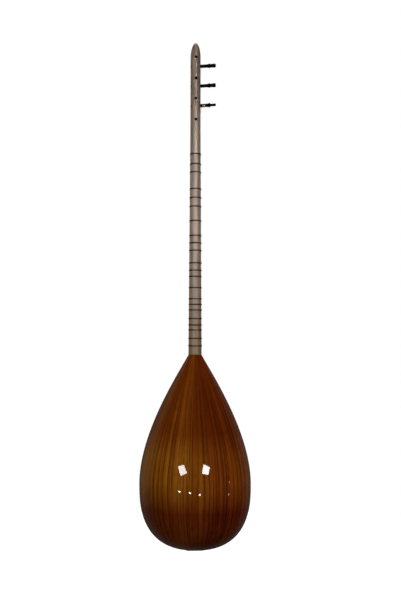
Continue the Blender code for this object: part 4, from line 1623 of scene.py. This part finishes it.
@dataclass
class Strings:
    """Seven strings with their windings, and the pieces that carry them on the bowl."""

    steel: bpy.types.Material
    bronze: bpy.types.Material
    # A darker copy of the steel wire: painted shade on the windings
    shaded_steel: bpy.types.Material
    diameters: tuple[float, ...] = (0.00020, 0.00020, 0.00046, 0.00030, 0.00030, 0.00020, 0.00056)
    at_nut: tuple[float, ...] = (0.0090, 0.0070, 0.0050, -0.0012, -0.0036, -0.0075, -0.0095)
    at_bridge: tuple[float, ...] = (0.0158, 0.0135, 0.0112, 0.0004, -0.0022, -0.0134, -0.0157)
    wound: tuple[int, ...] = (3, 7)
    notch_width: float = 0.0009
    gap_on_bridge: float = 0.0004
    notch_depth: float = 0.0006
    winding_turns: int = 5
    winding_pitch: float = 0.0016
    winding_from_head: float = 0.0032
    edge_bend_before_peg: float = 0.016
    edge_bend_length: float = 0.002
    holder_width: float = 0.040
    holder_thickness: float = 0.006
    holder_above_board: float = 0.004
    holder_below_rim: float = 0.005
    slot_width: float = 0.0012
    slot_depth: float = 0.0016
    tail: float = 0.006
    bridge_base_width: float = 0.058
    bridge_top_width: float = 0.040
    bridge_base_thickness: float = 0.006
    bridge_top_thickness: float = 0.0024
    bridge_foot_width: float = 0.006
    bridge_middle_foot: float = 0.016
    bridge_arch_height: float = 0.0038
    bridge_arch_power: float = 0.6
    bridge_arch_share: float = 0.86
    bridge_shoulder: float = 0.45
    bridge_bevel: float = 0.0003
    holder_bevel: float = 0.00035
    corner_reach: float = 0.0005
    notch_steps: int = 4
    arch_steps: int = 8
    side_steps: int = 6
    winding_steps: int = 28
    wire_degrees: float = 80
    turned_back: int = 4

    def notches(self, places: Sequence[float], level: float) -> list[Flat]:
        """Gives the points of an edge with a rounded groove for each string, from -X to +X.

        Args:
            places: The strings' places.
            level: The edge's level.

        Returns:
            The points of the grooves.
        """
        points = []
        half = self.notch_width / 2
        for x in sorted(places):
            for i in range(self.notch_steps + 1):
                angle = math.pi * i / self.notch_steps
                points.append((x - half * math.cos(angle), level + self.notch_depth * math.sin(angle)))
        return points

    def slots(self, places: Sequence[float], level: float) -> list[Flat]:
        """Gives the points of an edge with a square slot for each string, from -X to +X.

        Args:
            places: The strings' places.
            level: The edge's level.

        Returns:
            The points of the slots.
        """
        points = []
        half = self.slot_width / 2
        for x in sorted(places):
            points += [(x - half, level), (x - half, level + self.slot_depth)]
            points += [(x + half, level + self.slot_depth), (x + half, level)]
        return points

    def winding_radius(self, place: PegPlace) -> float:
        """From a peg's axis to the middle of the wire wound on it."""
        outer_end = self.winding_from_head + self.winding_turns * self.winding_pitch
        return place.radius(outer_end) + PLAN.clearance + self.diameters[place.string - 1] / 2

    def build_winding(self, place: PegPlace) -> None:
        """Winds one string's end round its peg.

        Args:
            place: The place of the string's peg.
        """
        radius = self.winding_radius(place)
        start, sense = (0.0, 1) if place.row is PegRow.FRONT else (math.pi / 2, -1)
        points = []
        for i in range(self.winding_turns * self.winding_steps + 1):
            turn = i / self.winding_steps
            angle = start + sense * 2 * math.pi * turn
            along = self.winding_from_head + self.winding_pitch * turn
            points.append(Vector((radius * math.cos(angle), radius * math.sin(angle), along)))
        coil = wire(points, self.diameters[place.string - 1] / 2, 8)
        set_down(coil, place.matrix, degrees=self.wire_degrees)
        name = f"string_{place.string}_winding"
        slot = self.slot_of(place.string)
        # Steel windings take a darker copy of the strings' steel: painted shade
        finish = self.bronze if place.string in self.wound else self.shaded_steel
        fit(coil, f"string_{place.string}_coil", finish, place.name, slot, name)

    def slot_of(self, number: int) -> str:
        """The record's slot of a string's wire."""
        return Slot.BRONZE.value if number in self.wound else Slot.STEEL.value

    def finish_of(self, number: int) -> bpy.types.Material:
        """The material of a string's wire."""
        return self.bronze if number in self.wound else self.steel

    def head_end(self, place: PegPlace) -> list[Vector]:
        """Gives the string's way from the face of the neck to its winding.

        Args:
            place: The place of the string's peg.

        Returns:
            The way's points in the neck's frame.
        """
        diameter = self.diameters[place.string - 1]
        if place.row is PegRow.FRONT:
            side = -1 if place.string == self.turned_back else 1
            off_axis = self.winding_radius(place) + diameter + PLAN.clearance
            return [Vector((side * off_axis, -self.winding_from_head, place.level))]
        half = PLAN.neck_half_width(place.level)
        away = 1.5 * PLAN.clearance + diameter / 2
        bend = place.level - self.edge_bend_before_peg
        over_face = Vector((PLAN.neck_edge - half, -away, bend))
        past_edge = Vector((-half - away, PLAN.neck_edge, bend + self.edge_bend_length))
        radius = self.winding_radius(place) + diameter + PLAN.clearance
        centre_y = place.from_face
        centre_z = place.level + self.winding_from_head * math.sin(place.rise)
        down, back = past_edge.z - centre_z, past_edge.y - centre_y
        angle = math.atan2(back, down) - math.acos(radius / math.hypot(down, back))
        side_end = Vector((
            -place.entry - self.winding_from_head * math.cos(place.rise),
            centre_y + radius * math.sin(angle),
            centre_z + radius * math.cos(angle),
        ))
        return [over_face, past_edge, side_end]

    def build_string(self, place: PegPlace) -> None:
        """Draws one string from its peg over nut and bridge to the holder.

        Args:
            place: The place of the string's peg.
        """
        number = place.string
        radius = self.diameters[number - 1] / 2
        over = PLAN.clearance + radius
        points = [PLAN.to_bowl(point) for point in reversed(self.head_end(place))]
        nut = (self.at_nut[number - 1], -PLAN.string_height_at_nut - over, PLAN.neck_length)
        points.append(PLAN.to_bowl(nut))
        x = self.at_bridge[number - 1]
        bridge_y = PLAN.bridge_top_y + self.notch_depth - self.gap_on_bridge - radius
        points.append(Vector((x, bridge_y, -PLAN.bridge_from_neck)))
        slot_y = PLAN.face_y - self.holder_above_board + self.slot_depth - over
        behind = -(PLAN.bowl_length + PLAN.clearance + self.holder_thickness + over)
        points += [Vector((x, slot_y, -PLAN.bowl_length)), Vector((x, slot_y, behind))]
        points.append(Vector((x, slot_y + self.tail, behind)))
        string = wire(rounded_path(points, self.corner_reach), radius, 8)
        set_down(string, PLAN.bowl_frame, degrees=self.wire_degrees)
        name, slot = f"string_{number}", self.slot_of(number)
        fit(string, f"{name}_wire", self.finish_of(number), "saz", slot, name)

    def build_bridge(self, finish: bpy.types.Material) -> None:
        """Builds the bridge on its three feet.

        Args:
            finish: Its material.
        """
        base, top_half = self.bridge_base_width / 2, self.bridge_top_width / 2
        inner = base - self.bridge_foot_width
        middle = self.bridge_middle_foot / 2
        level = {x: self.board_top(x) - PLAN.clearance for x in (0.0, base, inner, middle)}
        lean = self.bridge_arch_height / 2
        shoulder = PLAN.bridge_top_y + self.notch_depth + PLAN.bridge_height * self.bridge_shoulder
        left = [(-middle, level[middle])]
        mid_x, half = -(middle + inner) / 2, (inner - middle) / 2
        rise = self.bridge_arch_height * self.bridge_arch_share
        for i in range(self.arch_steps + 1):
            angle = math.pi * i / self.arch_steps
            arch = level[middle] - lean / 2 - rise * math.sin(angle) ** self.bridge_arch_power
            left.append((mid_x + half * math.cos(angle), arch))
        left += [(-inner, level[inner]), (-base, level[base]), (-base, level[base] - lean)]
        start = Vector((-base, level[base] - lean))
        bend = Vector((-top_half - lean, shoulder))
        end = Vector((-top_half, PLAN.bridge_top_y))
        for i in range(1, self.side_steps + 1):
            left.append(tuple(curve_point(start, bend, end, i / self.side_steps)))
        grooves = self.notches(self.at_bridge, PLAN.bridge_top_y)
        outline = left + grooves + [(-x, y) for x, y in reversed(left)]
        height = self.board_top(0) - PLAN.bridge_top_y

        def half_thickness(y: float) -> float:
            """Gives half the bridge's thickness.

            Args:
                y: The level, from the bridge's top towards the soundboard.

            Returns:
                Half the thickness there.
            """
            share = (self.board_top(0) - y) / height
            change = self.bridge_top_thickness - self.bridge_base_thickness
            return (self.bridge_base_thickness + change * share) / 2

        bridge = plate(outline, half_thickness)
        place = PLAN.bowl_frame @ Matrix.Translation((0, 0, -PLAN.bridge_from_neck))
        set_down(bridge, place, self.bridge_bevel)
        fit(bridge, "string_bridge", finish, "bridge", Slot.DARK.value, "bridge")

    @staticmethod
    def board_top(x: float) -> float:
        """The level of the soundboard's face under the bridge."""
        return PLAN.board_under(x, PLAN.half_width) - PLAN.board_thickness

    def build_holder(self, finish: bpy.types.Material) -> None:
        """Builds the slotted block on the tail.

        Args:
            finish: Its material.
        """
        half = self.holder_width / 2
        top, low, corner = PLAN.face_y - self.holder_above_board, self.holder_below_rim, self.slot_depth
        outline = [(-half + corner, low), (-half, low - corner), (-half, top + corner), (-half + corner, top)]
        outline += self.slots(self.at_bridge, top)
        outline += [(half - corner, top), (half, top + corner), (half, low - corner), (half - corner, low)]
        holder = plate(outline, lambda y: self.holder_thickness / 2)
        drop = -(PLAN.bowl_length + PLAN.clearance + self.holder_thickness / 2)
        set_down(holder, PLAN.bowl_frame @ Matrix.Translation((0, 0, drop)), self.holder_bevel)
        fit(holder, "tail_string_holder", finish, "saz", Slot.DARK.value, "string_holder")

    def build(self, dark_wood: bpy.types.Material) -> None:
        """Builds the strings, their windings, the bridge and the holder.

        Args:
            dark_wood: The material of the bridge and the holder.
        """
        for place in PEG_PLACES:
            self.build_winding(place)
            self.build_string(place)
        self.build_bridge(dark_wood)
        self.build_holder(dark_wood)


# ---- Studio


@dataclass(frozen=True)
class Softbox:
    """A lamp that looks at the instrument.

    Its edges are given as they are seen from the instrument, to the camera's right and up, so that
    a slanted pair stands for a rectangle turned away.
    """

    name: str
    azimuth: float
    rise: float
    across: Flat
    up: Flat
    radiance: float
    aim: float = -0.28
    spread: float = 180.0
    distance: float = 2.9
    mirrored: bool = True
    aim_depth: float = 0.1

    def add(self) -> None:
        """Adds the lamp; its azimuth is 0 behind the instrument's back, and grows to the left."""
        target = PLAN.bowl_frame @ Vector((0, self.aim_depth, self.aim))
        turn, rise = math.radians(self.azimuth), math.radians(self.rise)
        away = Vector((math.sin(turn) * math.cos(rise), math.cos(turn) * math.cos(rise), math.sin(rise)))
        right = Vector((0, 0, 1)).cross(away).normalized()
        over = away.cross(right)
        lean = Vector(self.across).dot(Vector(self.up))
        depth = math.sqrt(abs(lean))
        first = right * self.across[0] + over * self.across[1] + away * depth
        second = right * self.up[0] + over * self.up[1] - away * (lean / depth if depth else 0.0)
        data = bpy.data.lights.new(self.name, "AREA")
        data.shape = "RECTANGLE"
        data.size, data.size_y = first.length, second.length
        data.spread = math.radians(self.spread)
        half = data.spread / 2
        grid = 1.0 if self.spread >= 180 else 1 - half / math.tan(half)
        data.energy = self.radiance * math.pi * data.size * data.size_y * grid
        lamp = bpy.data.objects.new(self.name, data)
        bpy.context.collection.objects.link(lamp)
        x_axis, y_axis = first.normalized(), second.normalized()
        axes = Matrix((x_axis, y_axis, x_axis.cross(y_axis))).transposed().to_4x4()
        lamp.matrix_world = Matrix.Translation(target + away * self.distance) @ axes
        lamp.visible_camera = False
        lamp.visible_glossy = self.mirrored


@dataclass
class Studio:
    """The camera, the lamps, the white surroundings and the floor."""

    camera_distance: float = 2.5
    camera_above_joint: float = 0.016
    camera_round: float = math.radians(3.5)
    camera_pitch: float = 0.047
    camera_yaw: float = 0.0054
    focal_in_heights: float = 1011 / 601
    floor_below_tail: float = 0.16
    floor_radius: float = 1.6
    ambient: float = 0.30
    ambient_below: float = 0.05
    ambient_heights: Flat = (-0.8, 0.3)
    backdrop_range: Flat = (-1.0, -0.3)
    backdrop_in_varnish: tuple[Flat, ...] = ((0.0, 0.012), (0.22, 0.055), (0.5, 0.035), (1.0, 0.0))
    floor_sides: int = 96
    floor_fade: Flat = (0.25, 0.9)
    floor_glow: Flat = (0.8, 1.0)
    floor_grey: float = 0.3
    lamps: tuple[Softbox, ...] = (
        Softbox("left_window", 37.5, 14.7, (0.73, 0.15), (-0.43, 0.36), 22.0),
        Softbox("right_window", -21.0, 14.7, (0.76, -0.136), (0.28, 0.37), 27.0),
        Softbox("left_spot", 43.5, -8.2, (0.24, -0.03), (0, 0.04), 45.0),
        Softbox("middle_spot", 18.8, -8.9, (0.28, -0.03), (0, 0.035), 45.0),
        Softbox("right_spot", -4.5, -10, (0.18, 0), (0, 0.045), 45.0),
        Softbox("upper_right_glint", -78, -1, (0.07, 0), (0, 0.09), 5.0),
        Softbox("lower_right_glint", -76, -10, (0.12, 0), (0, 0.05), 5.0),
        Softbox("upper_head_lamp", -10, 12.3, (0.8, 0), (0, 0.08), 130.0, 0.707, 30),
        Softbox("lower_head_lamp", -4, 9.7, (0.9, 0), (0, 0.08), 4.0, 0.587, 28),
        Softbox("neck_lamp", 0, 7.0, (0.9, 0), (0, 0.26), 74.0, 0.44, 19),
        Softbox("left_side_fill", 100, 0, (0.9, 0), (0, 1.8), 1.6, mirrored=False),
        Softbox("right_side_fill", -100, 0, (0.9, 0), (0, 1.8), 1.6, mirrored=False),
        Softbox("front_left_key", 150, 30, (1.3, 0), (0, 1.2), 6.0, mirrored=False),
        Softbox("front_right_key", -150, 25, (1.3, 0), (0, 1.2), 4.8, mirrored=False),
        Softbox("overhead", 0, 88, (1.2, 0), (0, 1.2), 2.2),
    )

    def add_camera(self) -> None:
        """Puts the camera behind the bowl, at the photograph's viewing angle."""
        data = bpy.data.cameras.new("camera")
        data.sensor_fit = "VERTICAL"
        data.sensor_height = 36
        data.lens = self.focal_in_heights * data.sensor_height
        camera = bpy.data.objects.new("camera", data)
        bpy.context.collection.objects.link(camera)
        turn = self.camera_round
        away = self.camera_distance
        place = Vector((away * math.sin(turn), away * math.cos(turn), self.camera_above_joint))
        camera.location = PLAN.bowl_frame @ place
        turn += self.camera_yaw
        look = Vector((-math.sin(turn), -math.cos(turn), math.tan(self.camera_pitch)))
        camera.rotation_euler = look.to_track_quat("-Z", "Y").to_euler()
        bpy.context.scene.camera = camera

    def add_world(self) -> None:
        """Makes the backdrop white, the ambient light plain and the room behind the camera dark."""
        world = bpy.data.worlds.new("studio")
        bpy.context.scene.world = world
        nodes = Nodes(world)
        background = nodes.tree.nodes["Background"].inputs
        background["Color"].default_value = (1, 1, 1, 1)
        direction = nodes.place("Generated")
        behind = nodes.spread(nodes.axis(direction, 1), self.backdrop_range)
        strength = nodes.spread(
            nodes.axis(direction, 2), self.ambient_heights, (self.ambient_below, self.ambient)
        )
        backdrop = nodes.greys(behind, self.backdrop_in_varnish)
        for ray, level in (("Glossy", backdrop), ("Transmission", 1.0), ("Camera", 1.0)):
            seen = nodes.add("ShaderNodeLightPath", {}, f"Is {ray} Ray")
            strength = nodes.add("ShaderNodeMix", {0: seen, 2: strength, 3: level}, data_type="FLOAT")
        nodes.put(background["Strength"], strength)

    def add_floor(self) -> None:
        """Lays a pale floor that fades into the white and keeps the instrument's shadow."""
        level = (PLAN.bowl_frame @ Vector((0, 0, -PLAN.bowl_length))).z - self.floor_below_tail
        rest_hands()
        bpy.ops.mesh.primitive_circle_add(
            vertices=self.floor_sides, radius=self.floor_radius, fill_type="NGON", location=(0, 0, level)
        )
        floor = bpy.context.object
        floor.name = "floor"
        material = bpy.data.materials.new("pale_floor")
        nodes = Nodes(material)
        nodes.tree.nodes.clear()
        length = nodes.add("ShaderNodeVectorMath", {0: nodes.place()}, "Value", operation="LENGTH")
        near, far = (self.floor_radius * share for share in self.floor_fade)
        fade = nodes.spread(length, (near, far), self.floor_glow, interpolation_type="SMOOTHSTEP")
        glow = nodes.add("ShaderNodeEmission", {"Strength": fade})
        diffuse = nodes.add("ShaderNodeBsdfDiffuse", {"Color": (*(self.floor_grey,) * 3, 1)})
        both = nodes.add("ShaderNodeAddShader", {0: glow, 1: diffuse})
        seen = nodes.add("ShaderNodeLightPath", {}, "Is Camera Ray")
        surface = nodes.add("ShaderNodeMixShader", {0: seen, 1: diffuse, 2: both})
        nodes.add("ShaderNodeOutputMaterial", {"Surface": surface}, None)
        floor.data.materials.append(material)
        floor.visible_glossy = False

    def build(self) -> None:
        """Sets up the camera, the lamps, the surroundings and the view."""
        self.add_camera()
        self.add_world()
        for lamp in self.lamps:
            lamp.add()
        self.add_floor()
        bpy.context.scene.view_settings.view_transform = "Standard"


def main() -> None:
    """Builds the instrument and the studio."""
    logging.basicConfig(level=logging.INFO, format="%(message)s")
    dark_wood = LongGrain(
        "dark_hardwood", (0.075, 0.032, 0.016), (0.035, 0.013, 0.007), contrast=0.35, varnish=1.0
    ).make()
    block_wood = LongGrain("plain_block_wood", (0.52, 0.35, 0.19), (0.40, 0.25, 0.12), roughness=0.6).make()
    neck_wood = LongGrain(
        "pale_neck_wood", (0.290, 0.209, 0.147), (0.225, 0.158, 0.110), 0.0008, 0.09, 0.28, 0.45, 0.8, 0.34,
        painted_light_stops=NECK_PAINTED_LIGHT,
    ).make()
    black_wood = PlainFinish(
        "black_peg_wood", (0.002, 0.0015, 0.0015), 0.6, (500, 500, 120), 0.4, 0.00003, specular=0.012
    ).make()
    bone = PlainFinish("nut_bone", (0.76, 0.70, 0.56), 0.35, (300, 300, 300), 0.08).make()
    line = PlainFinish(
        "brown_fret_line", (0.018, 0.006, 0.001), 0.6, (900, 900, 900), 0.3, specular=0.03
    ).make()
    steel = PlainFinish("steel_wire", (0.62, 0.62, 0.63), 0.24, (1500, 1500, 200), 0.1, 0.000004, 1.0).make()
    # A darker copy of the steel wire, painted shade for the windings on the pegs
    shaded_steel = PlainFinish(
        "dull_steel_wire", (0.10, 0.10, 0.10), 0.45, (1500, 1500, 200), 0.2, 0.000004, 1.0
    ).make()
    bronze = PlainFinish(
        "bronze_wire", (0.58, 0.45, 0.30), 0.28, (1500, 1500, 3000), 0.2, 0.00001, 1.0
    ).make()

    Bowl().build(dark_wood, block_wood)
    neck = Neck()
    neck.build(neck_wood, line)
    Pegs().build(black_wood)
    strings = Strings(steel, bronze, shaded_steel)
    strings.build(dark_wood)
    neck.build_nut(strings, bone)
    Studio().build()


if __name__ == "__main__":
    main()
